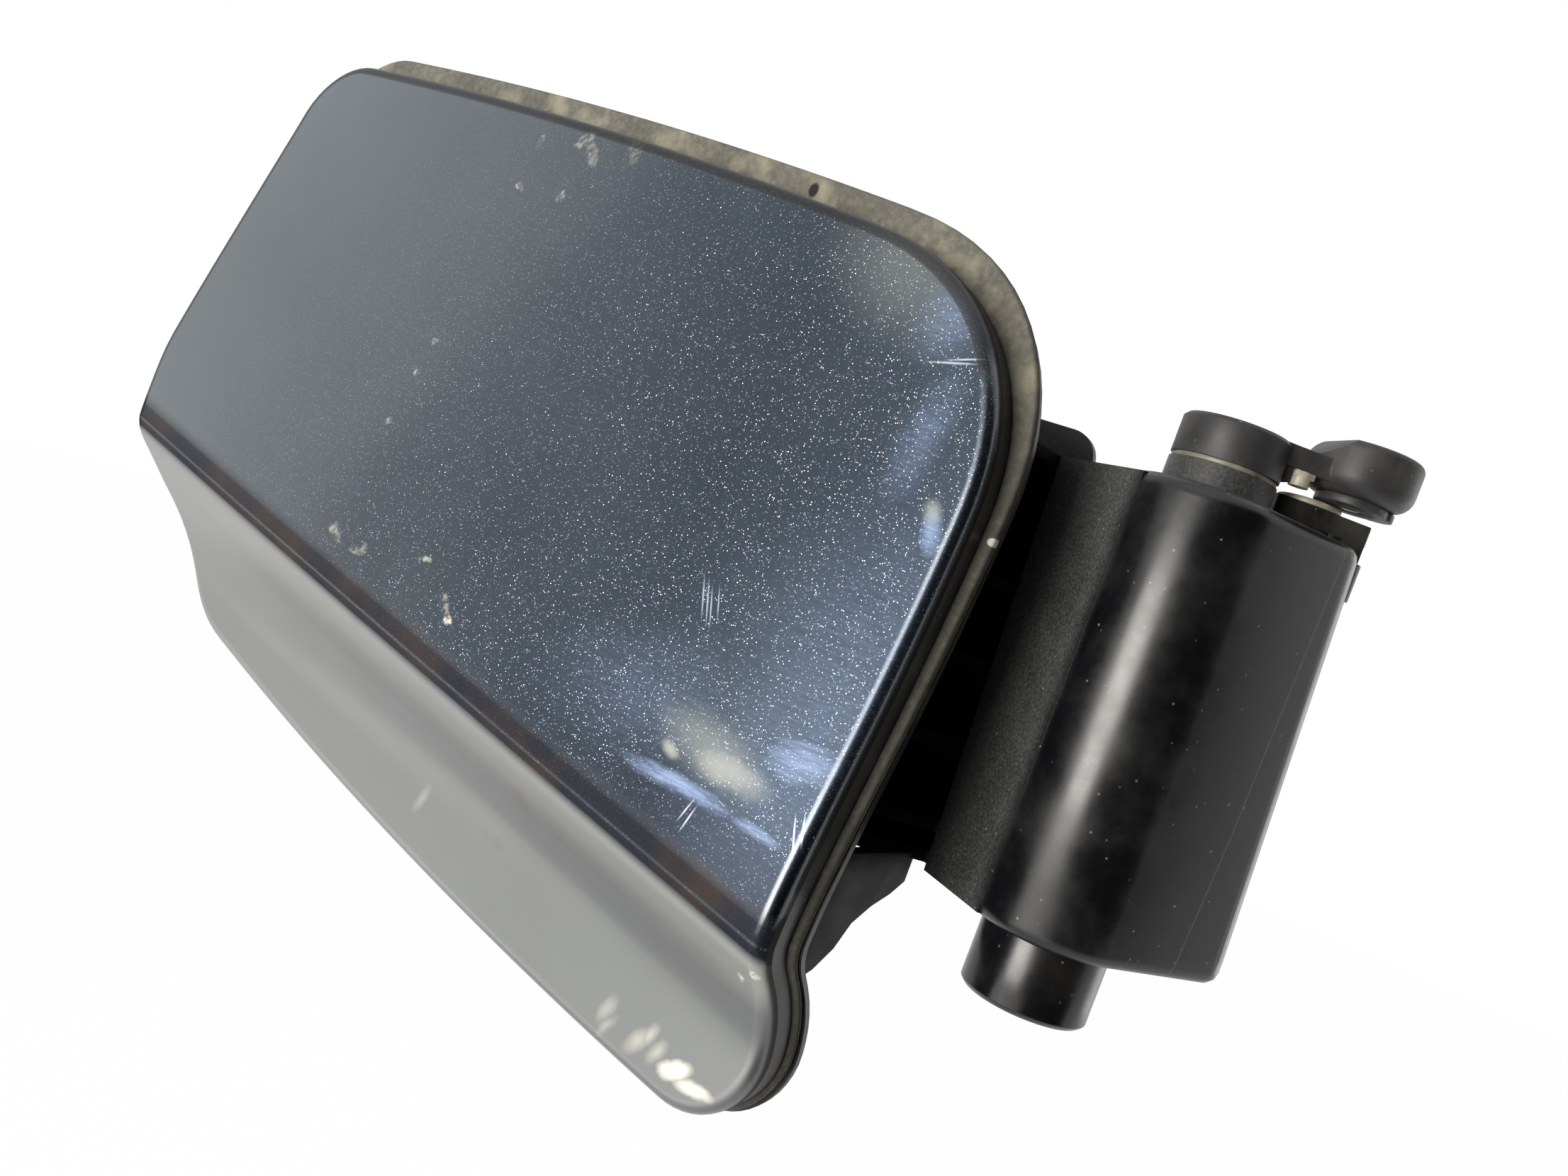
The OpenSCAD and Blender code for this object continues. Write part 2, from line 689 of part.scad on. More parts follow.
module hinge_link() {
    color("#232427")
    link_frame()
    difference() {
        union() {
            translate([0, 0, cap_z0]) cylinder(r = boss_r, h = cap_h - 0.6);
            translate([0, 0, cap_z1 - 0.6]) cylinder(r1 = boss_r, r2 = boss_r - 0.6, h = 0.6);
            translate([0, -neck_w / 2, neck_z0]) cube([lobe_x, neck_w, neck_h]);
            translate([boss_r - 2, -3.6, cap_z0 + 1]) cube([2.6, 7.2, neck_lift]);
            translate([lobe_x, 0, 0]) lobe_body();
        }
        translate([lobe_x - lobe_r - 0.4, -lobe_r - 1, neck_z0 + neck_h])
        rotate([0, -45, 0])
        translate([0, 0, 0]) cube([12, 2 * lobe_r + 2, 12]);
        intersection() {
            translate([0, 0, cap_z0 - 1]) cylinder(r = key_r + 0.05, h = key_d + 1.05);
            rotate([0, 0, -link_angle])
            translate([-key_r - 1, -key_r - 1, cap_z0 - 1])
            cube([2 * key_r - key_flat + 1.05, 2 * key_r + 2, key_d + 1.05]);
        }
        translate([0, 0, cap_z0]) cylinder(r = screw_bore_r + 0.2, h = cap_h + 1);
        translate([0, 0, cap_z1 - head_recess_d]) cylinder(r = head_recess_r, h = head_recess_d + 1);
        translate([lobe_x, 0, lobe_z0 - 1]) cylinder(r = 1.6, h = 4.5);
    }
}

module link_screw() {
    color("#9a9da1")
    difference() {
        union() {
            translate([0, 0, cap_z1 - head_recess_d]) cylinder(r = head_recess_r - 0.3, h = head_recess_d - 0.3);
            translate([0, 0, cap_z0 - 6]) cylinder(r = screw_bore_r - 0.02, h = cap_h + 6 - head_recess_d + eps);
        }
        for (a = [0, 90]) rotate([0, 0, a])
            translate([-2, -0.4, cap_z1 - 1.1]) cube([4, 0.8, 2]);
    }
}

// Catch plate, riveted under the lobe
catch_z1 = lobe_z0;
catch_z0 = catch_z1 - catch_t;
turn_top = catch_z0 - turn_gap;
module catch_plate() {
    color("#1b1c1e")
    link_frame()
    translate([lobe_x, 0, catch_z0])
    difference() {
        union() {
            cylinder(r = lobe_r - 3, h = catch_t);
            translate([0, -3.2, 0]) cube([catch_reach - 1.6, 6.4, catch_t]);
            translate([catch_reach - 3.2, 0, 0]) cylinder(r = 3.2, h = catch_t);
        }
        translate([0, 0, -1]) cylinder(r = 1.6, h = catch_t + 2);
        translate([-lobe_r, 4.4, -1]) cylinder(r = 3, h = catch_t + 2);
    }
}
module catch_rivet() {
    color("#a7a9ab")
    link_frame()
    translate([lobe_x, 0, catch_z0]) cylinder(r = 1.6, h = catch_t + 3.4);
}

// Ivory hook that hangs under the neck
hook_w = 3.2;
module link_hook() {
    color("#cfccb8")
    link_frame()
    translate([boss_r + 0.7, -neck_w / 2, 0])
    difference() {
        union() {
            translate([0, 0.2, neck_z0 - 1]) cube([hook_w, neck_w - 1.4, 1]);
            translate([hook_w / 2, hook_w / 2, catch_z0])
                cylinder(r = hook_w / 2, h = neck_z0 - catch_z0);
        }
        translate([hook_w / 2, -hook_w * 0.4, catch_z0 - 1]) cylinder(r = hook_w * 0.4, h = 8);
    }
}

// Spring carrier in the arm's pocket, with its slide plate
carrier_x0 = pocket_x0;
carrier_x1 = lobe_x + end_r + 1;
carrier_y0 = pocket_y0;
carrier_y1 = 12;
carrier_z0 = arm_z0 + 0.455 * arm_h;
slide_t = 0.9;
carrier_z1 = turn_top - slide_t;
pivot_x = lobe_x - pivot_back;
pivot_y = pivot_out;
bay_r = spring_r + wire_r + 0.8;
module spring_carrier() {
    color("#1a1b1d")
    link_frame()
    difference() {
        union() {
            translate([carrier_x0, carrier_y0, carrier_z1 - 3.2])
                cube([carrier_x1 - carrier_x0 - 4, carrier_y1 - carrier_y0, 3.2]);
            translate([pivot_x + bay_r, carrier_y0, carrier_z1 - 12.4])
                cube([carrier_x1 - 1.6 - pivot_x - bay_r, 5.4, 12.4]);
            translate([carrier_x1 - 3.4, carrier_y0 + 3, carrier_z1 - 3.2]) cylinder(r = 3, h = 3.2);
            translate([carrier_x1 - 2.6, carrier_y0 + 2.4, carrier_z1 - 12.4]) cylinder(r = 2.6, h = 6.2);
            translate([carrier_x0, carrier_y0, carrier_z0])
                cube([3, carrier_y1 - carrier_y0, carrier_z1 - carrier_z0]);
            translate([carrier_x0, carrier_y0, carrier_z0])
                cube([carrier_x1 - carrier_x0 - 6, carrier_y1 - carrier_y0, 3]);
        }
        translate([pivot_x, pivot_y, carrier_z0 - 1]) cylinder(r = pin_r, h = 100);
        translate([carrier_x1 + 1.4, carrier_y0 - 0.4, carrier_z1 - 6.4]) cylinder(r = 2.4, h = 3);
    }
}

module carrier_screw() {
    color("#8d9094")
    link_frame()
    translate([carrier_x0 + 1.5, carrier_y1 + 0.01, carrier_z0 + 12]) rotate([-90, 0, 0]) cylinder(r = 2.4, h = 1.4);
}

module slide_plate() {
    color("#cdc9b4")
    link_frame()
    translate([pivot_x - 1, pivot_y - 1.6, carrier_z1])
    difference() {
        cylinder(r = 5.2, h = slide_t);
        translate([1, 1.6, -1]) cylinder(r = pin_r + 0.4, h = slide_t + 2);
    }
}

module catch_pin() {
    color("#b9bbbd")
    link_frame()
    translate([pivot_x, pivot_y, carrier_z0]) cylinder(r = pin_r, h = carrier_z1 - carrier_z0 + slide_t - 0.2);
}

// Bushes over and under the spring
bush_h = 2;
lever_h = 6;
lever_z0 = carrier_z0 + 3 + 0.3;
lower_bush_z = lever_z0 + lever_h + 0.3;
upper_bush_z = carrier_z1 - 3.2 - bush_h;
module bush(z) {
    color("#d2cfbc")
    link_frame()
    translate([pivot_x, pivot_y, z])
    difference() {
        cylinder(r = bay_r - 0.4, h = bush_h);
        translate([0, 0, -1]) cylinder(r = pin_r + 0.02, h = bush_h + 2);
    }
}

module upper_bush() {
    bush(upper_bush_z);
}

module lower_bush() {
    bush(lower_bush_z);
}

// Torsion spring as a swept tube round the pin
spring_z0 = lower_bush_z + bush_h + wire_r;
spring_z1 = upper_bush_z - wire_r;
spring_sides = 8;
spring_steps = 16;
spring_n = spring_turns * spring_steps;
function coil_point(t) = [
    pivot_x + spring_r * cos(360 * spring_turns * t),
    pivot_y + spring_r * sin(360 * spring_turns * t),
    spring_z0 + (spring_z1 - spring_z0) * t
];
coil_points = [for (k = [0:spring_n]) let (t = k / spring_n, p = coil_point(t))
    each [for (s = [0:spring_sides - 1])
        let (a = 360 * spring_turns * t, b = 360 * s / spring_sides, o = wire_r * cos(b))
        p + [o * cos(a), o * sin(a), wire_r * sin(b)]]];
module torsion_spring() {
    n = spring_sides;
    color("#8f9296")
    link_frame()
    polyhedron(
        points = coil_points,
        faces = concat(
            [[for (s = [0:n - 1]) s]],
            [for (k = [0:spring_n - 1]) for (s = [0:n - 1]) for (half = [0, 1])
                let (a = k * n + s, b = k * n + (s + 1) % n)
                half == 0 ? [a, a + n, b + n] : [a, b + n, b]],
            [[for (s = [n - 1:-1:0]) spring_n * n + s]]
        ),
        convexity = 10
    );
}

// Catch lever on the pin
lever_reach = 6.4;
module catch_lever() {
    color("#242528")
    link_frame()
    translate([pivot_x, pivot_y, lever_z0])
    difference() {
        union() {
            cylinder(r = 3.4, h = lever_h);
            translate([-1.7, 0, 0]) cube([3.4, lever_reach, lever_h]);
            translate([0, lever_reach, 0]) cylinder(r = 1.7, h = lever_h);
        }
        translate([0, 0, -1]) cylinder(r = pin_r + run_gap, h = lever_h + 2);
    }
}

// Frame on the carrier's back, with Y away from the panel
module tray_frame(x, z) {
    run = 3;
    slope_x = (tray_back(x + run, z) - tray_back(x - run, z)) / (2 * run);
    slope_z = (tray_back(x, z + run) - tray_back(x, z - run)) / (2 * run);
    translate([x, tray_back(x, z) + 0.06, z])
    rotate([-atan(slope_z), 0, atan(slope_x)])
    children();
}

// Striker, rest buffers and skin clips on the carrier's back
striker_x = free_x + striker_in;
striker_z = crease_z(striker_x) + striker_rise;
module latch_striker() {
    color("#1f2022")
    tray_frame(striker_x, striker_z)
    difference() {
        union() {
            translate([-striker_h / 4, 0, -striker_h / 2]) cube([striker_h / 2, plate_t, striker_h]);
            translate([-bar_t / 2, 0, -bar_h / 2]) cube([bar_t, bar_h, bar_h]);
        }
        translate([-bar_t, bar_h / 2, -bar_h / 4]) cube([2 * bar_t, bar_h * 0.32, bar_h / 2]);
    }
}

module striker_screws() {
    color("#8d9094")
    for (s = [-1, 1]) {
        tray_frame(striker_x, striker_z)
        translate([0, plate_t, s * striker_h * 0.39])
        rotate([-90, 0, 0])
        cylinder(r = bar_t * 0.55, h = 1.4);
    }
}

module rest_buffers() {
    color("#202022")
    for (h = [upper_free_h * 0.75, upper_free_h * 0.16]) {
        tray_frame(free_x + buffer_in, crease_z_free + h) rotate([-90, 0, 0]) {
            cylinder(r = buffer_r, h = buffer_h - 1.4);
            translate([0, 0, buffer_h - 1.4]) cylinder(r1 = buffer_r, r2 = buffer_r - 1.3, h = 1.4);
        }
    }
}

module skin_clips() {
    color("#7f8387")
    for (u = [0.25, 0.45, 0.65]) {
        x = free_x + u * panel_w;
        tray_frame(x, top_z(x) - clip_w * 1.5)
        translate([-clip_w / 2, 0, -clip_w / 2])
        cube([clip_w, 1, clip_w]);
    }
}

outer_skin();
inner_carrier();
sealing_lip();
skin_clips();
hinge_arm();
arm_screws();
hinge_spindle();
trunnion_plug();
sliding_washer();
hinge_link();
link_screw();
catch_plate();
catch_rivet();
link_hook();
spring_carrier();
carrier_screw();
slide_plate();
catch_pin();
upper_bush();
lower_bush();
torsion_spring();
catch_lever();
latch_striker();
striker_screws();
rest_buffers();
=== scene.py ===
"""Looks of a car's fuel filler flap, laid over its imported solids. Lengths in mm until a mesh is made."""

import math

import bmesh
import bpy
from mathutils import Matrix, Vector


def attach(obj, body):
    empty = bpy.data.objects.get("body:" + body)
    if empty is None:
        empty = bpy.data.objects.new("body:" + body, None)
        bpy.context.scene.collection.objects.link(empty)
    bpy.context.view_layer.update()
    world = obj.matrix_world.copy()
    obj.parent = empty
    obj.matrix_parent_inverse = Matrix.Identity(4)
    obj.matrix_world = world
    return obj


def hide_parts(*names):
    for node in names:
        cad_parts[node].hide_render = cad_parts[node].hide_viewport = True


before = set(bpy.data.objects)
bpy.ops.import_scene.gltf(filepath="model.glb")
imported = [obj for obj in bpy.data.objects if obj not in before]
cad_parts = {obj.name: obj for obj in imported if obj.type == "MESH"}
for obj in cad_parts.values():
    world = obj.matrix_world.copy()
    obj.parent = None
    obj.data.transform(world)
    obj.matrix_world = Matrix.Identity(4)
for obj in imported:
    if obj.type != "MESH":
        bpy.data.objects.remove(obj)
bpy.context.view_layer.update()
MM = 0.001

# Panel shape, as in the part's source
PANEL_W, HINGE_X = 191.6, -21.0
FREE_X = HINGE_X - PANEL_W
UPPER, LOWER = (88.8, 103.4), (32.7, 32.6)
CREASE_Z, CREASE_OUT = (26.0, -6.2), (40.0, 48.4)
LEAN, SOFT, CROWN = 0.245, 12.0, 1.2
COVE_D, COVE_SLOPE, CREASE_R, COVE_R = (22.4, 12.4), 1.05, 3.0, 8.0
TOP_BULGE, LOW_BULGE = 3.7, 3.9
CORNERS = {"top": (14.0, 36.0), "low": (25.0, 15.0)}
SQUARE, TUCK, TUCK_H, TILT = 2.4, 2.6, 20.0, 1.4
TOP_RUN, LOW_RUN = 36.0, 25.0
SKIN_T, ROLL_R, TURN_IN, CARRIER_T = 1.2, 2.0, 3.8, 2.2
CARRIER_IN, WALL, LIP_BACK, LIP_T, FLANGE_T = 2.4, 3.0, 8.6, 2.2, 1.8
LIP_REACH = (2.6, 1.7, 5.6, 1.0, 1.5)
FLANGE_REACH = (2.2, 1.5, 5.2, 1.0, 0.75)
WALL_OUT = 0.4
ROOT_X, ROOT_Z, SEAT_H = (-95.0, -33.0), (14.0, 72.0), 0.8


def across(x):
    return (x - FREE_X) / PANEL_W


def chord(pair, x):
    return pair[0] + (pair[1] - pair[0]) * across(x)


def bow(x):
    return 4 * across(x) * (1 - across(x))


def crease_z(x):
    return chord(CREASE_Z, x)


def top_z(x):
    return crease_z(x) + chord(UPPER, x) + TOP_BULGE * bow(x)


def low_z(x):
    return crease_z(x) - chord(LOWER, x) - LOW_BULGE * bow(x)


def soft_max(a, b, r):
    return max(a, b) + max(r - abs(a - b), 0) ** 2 / (4 * r)


def face_y(x, z):
    """How far the painted face stands from the hinge axis; negative is outward."""
    h = z - crease_z(x)
    ridge = -chord(CREASE_OUT, x) - CROWN * bow(x)
    upper = ridge + LEAN * (math.hypot(h, SOFT) - SOFT)
    slope = ridge - COVE_SLOPE * h
    foot = ridge + chord(COVE_D, x)
    return -soft_max(-soft_max(upper if h > 0 else ridge, slope, CREASE_R), -foot, COVE_R)


# Rows of the panel's grid from the top edge to the bottom edge, finer than the solid's
ROWS = (
    [("top", a) for a in range(0, 91, 5)]
    + [("mid", f / 16) for f in range(1, 16)]
    + [("crease", h) for h in (20, 17, 14, 11.5, 9, 7, 5, 3.5, 2, 1, 0, -0.75, -1.5, -2.5, -3.5)]
    + [("foot", f / 3) for f in (1, 2)]
    + [("low", a) for a in range(90, -1, -5)]
)
COLS = 96


def row_z(grow, row, x):
    kind, value = row
    if kind == "top":
        return top_z(x) + grow[2] - (TOP_RUN + grow[2]) * (1 - math.cos(math.radians(value)))
    if kind == "low":
        return low_z(x) - grow[3] + (LOW_RUN + grow[3]) * (1 - math.cos(math.radians(value)))
    if kind == "crease":
        return crease_z(x) + value
    if kind == "foot":
        return (crease_z(x) - 3.5) * (1 - value) + (low_z(x) + LOW_RUN) * value
    return (top_z(x) - TOP_RUN) * (1 - value) + (crease_z(x) + 20) * value


def row_end(grow, row, side):
    """Where a row meets the free edge (side 0) or the hinge edge (side 1)."""
    kind, value = row
    if side == 0:
        h = (row_z(grow, row, FREE_X) - CREASE_Z[0]) / TUCK_H
        edge = FREE_X - grow[0] + TUCK * max(1 - h * h, 0) ** 2
    else:
        drop = UPPER[1] * 0.72 - row_z(grow, row, HINGE_X) + CREASE_Z[1]
        edge = HINGE_X + grow[1] - (TILT + grow[4]) * drop / 100
    if kind not in CORNERS:
        return edge
    rim = grow[2] if kind == "top" else grow[3]
    run = TOP_RUN if kind == "top" else LOW_RUN
    t = (run + rim) * (1 - math.cos(math.radians(value)))
    r = max(CORNERS[kind][side] + min(grow[side], rim), 1)
    power = SQUARE if kind == "top" and side == 1 else 2
    cut = 0 if t >= r else r - r * max(1 - ((r - t) / r) ** power, 0) ** (1 / power)
    return edge + cut if side == 0 else edge - cut


def grid_point(grow, i, j, back):
    a, b = row_end(grow, ROWS[i], 0), row_end(grow, ROWS[i], 1)
    x = a + (b - a) * j / (COLS - 1)
    z = row_z(grow, ROWS[i], x)
    return (x, face_y(x, z) + back, z)


RIM = (
    [(0, j) for j in range(COLS)]
    + [(i, COLS - 1) for i in range(1, len(ROWS))]
    + [(len(ROWS) - 1, j) for j in range(COLS - 2, -1, -1)]
    + [(i, 0) for i in range(len(ROWS) - 2, 0, -1)]
)


def rim_loop(grow, back):
    return [grid_point(grow, i, j, back) for i, j in RIM]


def even(g):
    return (g, g, g, g, 0)


# Making meshes and pieces
def new_piece(name, body, nodes, slot, paint, points, faces, angle=40):
    mesh = bpy.data.meshes.new(name)
    mesh.from_pydata([Vector(p) * MM for p in points], [], faces)
    mesh.validate()
    piece = bpy.data.objects.new(name, mesh)
    bpy.context.scene.collection.objects.link(piece)
    return dress(piece, body, nodes, paint, angle)


def dress(piece, body, nodes, paint, angle=40):
    piece.data.shade_smooth()
    piece.data.set_sharp_from_angle(angle=math.radians(angle))
    piece.data.materials.clear()
    piece.data.materials.append(paint)
    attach(piece, body)
    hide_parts(*nodes)
    return piece


def shell_mesh(front, loops, back):
    """Closed shell: a front grid, loops round its rim and a back grid."""
    rows, points, faces = len(ROWS), [], []

    def grid(pts, flip):
        base = len(points)
        points.extend(pts)
        for i in range(rows - 1):
            for j in range(COLS - 1):
                a = base + i * COLS + j
                quad = (a, a + 1, a + COLS + 1, a + COLS)
                faces.append(quad[::-1] if flip else quad)
        return [base + i * COLS + j for i, j in RIM]

    ring = grid(front, False)
    bands = []
    for loop in loops:
        base = len(points)
        points.extend(loop)
        bands.append([base + k for k in range(len(loop))])
    bands.append(grid(back, True))
    for nxt in bands:
        for k in range(len(RIM)):
            m = (k + 1) % len(RIM)
            faces.append((ring[k], nxt[k], nxt[m], ring[m]))
        ring = nxt
    return points, faces


def ring_mesh(loops):
    points = [p for loop in loops for p in loop]
    n, count, faces = len(RIM), len(loops), []
    for r in range(count):
        for k in range(n):
            a, b = r * n, ((r + 1) % count) * n
            m = (k + 1) % n
            faces.append((a + k, b + k, b + m, a + m))
    return points, faces


def eased_copy(name, body, node_name, paint, bevel=0.25, segments=2, angle=38):
    """The CAD solid's mesh as a new piece, with the small edge radii of a moulding or a machined part."""
    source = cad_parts[node_name]
    mesh = source.data.copy()
    mesh.name = name
    bm = bmesh.new()
    bm.from_mesh(mesh)
    bmesh.ops.remove_doubles(bm, verts=bm.verts, dist=0.00001)
    bmesh.ops.dissolve_limit(bm, angle_limit=math.radians(1.5), verts=bm.verts, edges=bm.edges)
    if bevel:
        sharp = [e for e in bm.edges if len(e.link_faces) == 2 and e.calc_face_angle(0) > math.radians(34)]
        bmesh.ops.bevel(bm, geom=sharp, offset=bevel * MM, segments=segments, profile=0.5,
                        affect="EDGES", clamp_overlap=True)
    bmesh.ops.recalc_face_normals(bm, faces=bm.faces)
    bm.to_mesh(mesh)
    bm.free()
    piece = bpy.data.objects.new(name, mesh)
    bpy.context.scene.collection.objects.link(piece)
    return dress(piece, body, [node_name], paint, angle)


# Materials
def linear(hex_code):
    """sRGB hex to linear colour, alpha 1."""
    parts = [int(hex_code[k:k + 2], 16) / 255 for k in (1, 3, 5)]
    return tuple(c / 12.92 if c <= 0.04045 else ((c + 0.055) / 1.055) ** 2.4 for c in parts) + (1,)


def grey(value):
    return (value, value, value, 1)


BLACK, WHITE = grey(0), grey(1)
# Settings of the nodes that sum, multiply, take the greater and lay one colour over another
PLUS, TIMES, MOST = ({"operation": how, "use_clamp": True} for how in ("ADD", "MULTIPLY", "MAXIMUM"))
OVER = {"data_type": "RGBA"}
SOFT_STEP = {"interpolation_type": "SMOOTHSTEP"}


def add(tree, kind, inputs=None, out=None, stops=(), **settings):
    """Add a node with its settings, ramp stops and links; give back its output called out, or the node."""
    node = tree.nodes.new(kind)
    for key, value in settings.items():
        setattr(node, key, value)
    for key, value in (inputs or {}).items():
        if isinstance(value, bpy.types.NodeSocket):
            tree.links.new(value, node.inputs[key])
        else:
            node.inputs[key].default_value = value
    if stops:
        elements = node.color_ramp.elements
        while len(elements) < len(stops):
            elements.new(0.5)
        for element, (at, colour) in zip(elements, stops):
            element.position, element.color = at, colour
    return node if out is None else node.outputs[out]


def blank(name):
    paint = bpy.data.materials.new(name)
    paint.use_nodes = True
    paint.node_tree.nodes.clear()
    return paint, paint.node_tree


def patch(tree, where, centre, size, turn=0.0):
    """Soft round patch on the XZ plane, 1 at its middle and 0 at its rim, in mm and degrees."""
    local = add(tree, "ShaderNodeMapping", {
        "Vector": where, "Location": (centre[0] * MM, 0, centre[1] * MM),
        "Rotation": (0, math.radians(turn), 0), "Scale": (size[0] * MM, 1.0, size[1] * MM)}, 0,
        vector_type="TEXTURE")
    return add(tree, "ShaderNodeTexGradient", {"Vector": local}, "Fac", gradient_type="SPHERICAL")


def specks(tree, where, size_mm, share):
    """Small bright dots, a share of them lit, and a random colour for each."""
    cells = add(tree, "ShaderNodeTexVoronoi", {"Vector": where, "Scale": 1 / (size_mm * MM)})
    dot = add(tree, "ShaderNodeValToRGB", {
        "Fac": cells.outputs["Distance"]}, "Color", [(0.1, WHITE), (0.34, BLACK)])
    pick = add(tree, "ShaderNodeSeparateColor", {"Color": cells.outputs["Color"]}, "Red")
    lit = add(tree, "ShaderNodeValToRGB", {"Fac": pick}, "Color", [(1 - share, BLACK), (1, WHITE)])
    return add(tree, "ShaderNodeMath", {0: dot, 1: lit}, 0, **TIMES), cells.outputs["Color"]


# Clouds left on the lacquer by old polish and hands: centre, size and turn in mm and degrees, then strength
GLOW = [
    ((-43.5, 17.8), (5.6, 15), 102, 0.3), ((-39.5, 16.2), (3.6, 10.5), 95, 0.7),
    ((-49.6, 15.5), (1.4, 2.8), 115, 0.8), ((-26.6, 61.8), (2.2, 2.8), -25, 0.5),
    ((-47, 97), (22, 15), 20, 0.22),
]
# Blue smears: rubbed haze that is partly a painted reflection of blue sky
SMEAR_AND_SKY_SHEEN = [
    ((-46, 11.2), (2.0, 14), 91, 0.85), ((-30.6, 10.1), (1.3, 7), 99, 0.5),
    ((-28.4, 21.4), (4.2, 8.5), 84, 0.6), ((-29.4, 23.8), (1.4, 8), 83, 0.4),
    ((-25.4, 59), (2.4, 5), -25, 0.7), ((-33, 72), (6, 16), 6, 0.22), ((-36, 90), (8, 9), 30, 0.25),
    ((-60, 22), (26, 14), -10, 0.14), ((-30, 34), (24, 46), 8, 0.12),
]
# Pale dirt and water spots
DIRT = [
    ((-126, 107), (3, 1.6), -15, 0.4), ((-123, 104.8), (3, 1.8), 30, 0.3),
    ((-137.4, 105), (1.2, 1.6), 0, 0.35), ((-125.6, 95), (1.6, 1.2), 20, 0.5),
    ((-137.1, 95.8), (1.3, 1), 0, 0.55), ((-138.2, 62), (1.2, 0.9), 0, 0.6),
    ((-137.6, 55.6), (1, 1), 0, 0.6), ((-138.5, 44.7), (1.1, 0.9), 0, 0.55),
    ((-136.3, 23.4), (2.6, 1.4), 20, 0.5), ((-129.6, 22.5), (3, 1.2), -20, 0.35),
    ((-113.3, 25.4), (1.8, 0.9), -10, 0.7), ((-101.9, 18.3), (1.7, 1.5), 0, 1.0),
    ((-104, 20.5), (2.4, 1.6), 40, 0.4), ((-23.6, -8.6), (1.7, 1.0), 30, 1.0),
    ((-26.1, -11), (0.8, 0.8), 0, 0.7), ((-113, 108), (5, 2.4), 60, 0.25),
]
# Brown and grey smudges in the cove and over the fold, then pale spots at the cove's foot: the two brightest
# are painted sun highlights, the faint ones rubbed spots
SMUDGE = [
    ((-79.5, -6.1), (3.4, 2.4), 30, 0.35), ((-86.4, -16.5), (2.2, 1.2), 20, 0.35),
    ((-89.6, -16), (2.0, 0.9), 30, 0.3), ((-110.5, 21.5), (9, 4.5), 100, 0.3),
    ((-122.6, 18.8), (12, 3), 100, 0.3),
]
RUBBED_AND_SUN_GLINTS = [
    ((-35.8, -31.6), (1.9, 4.4), 60, 0.85), ((-31.5, -32.3), (1.6, 4.6), 80, 0.7),
    ((-51.8, -29.6), (1.4, 3.8), 20, 0.16), ((-50.8, -32), (1.2, 3.4), 25, 0.14),
    ((-42.6, -29.2), (1.4, 3.2), 25, 0.22), ((-44.5, -31.2), (2, 4.2), 40, 0.2),
    ((-40.2, -31), (1.8, 3.4), 30, 0.2), ((-108.3, -17), (1.4, 3.8), 15, 0.13),
]
# Fine scratches, long and narrow
SCRATCHES = [
    ((-57, 38), (0.2, 4.2), -27), ((-55.8, 37.5), (0.2, 4.4), -27), ((-54.8, 37), (0.18, 4.0), -27),
    ((-53.9, 38), (0.16, 3.2), -27), ((-33, 84), (0.25, 5.0), 80), ((-31, 85), (0.2, 4.0), 76),
    ((-23.6, 13), (0.2, 3.0), -20), ((-41.6, 7.3), (0.2, 2.6), 12), ((-42.6, 8.3), (0.18, 2.4), 16),
    ((-24.6, 12), (0.2, 3.4), -24),
]


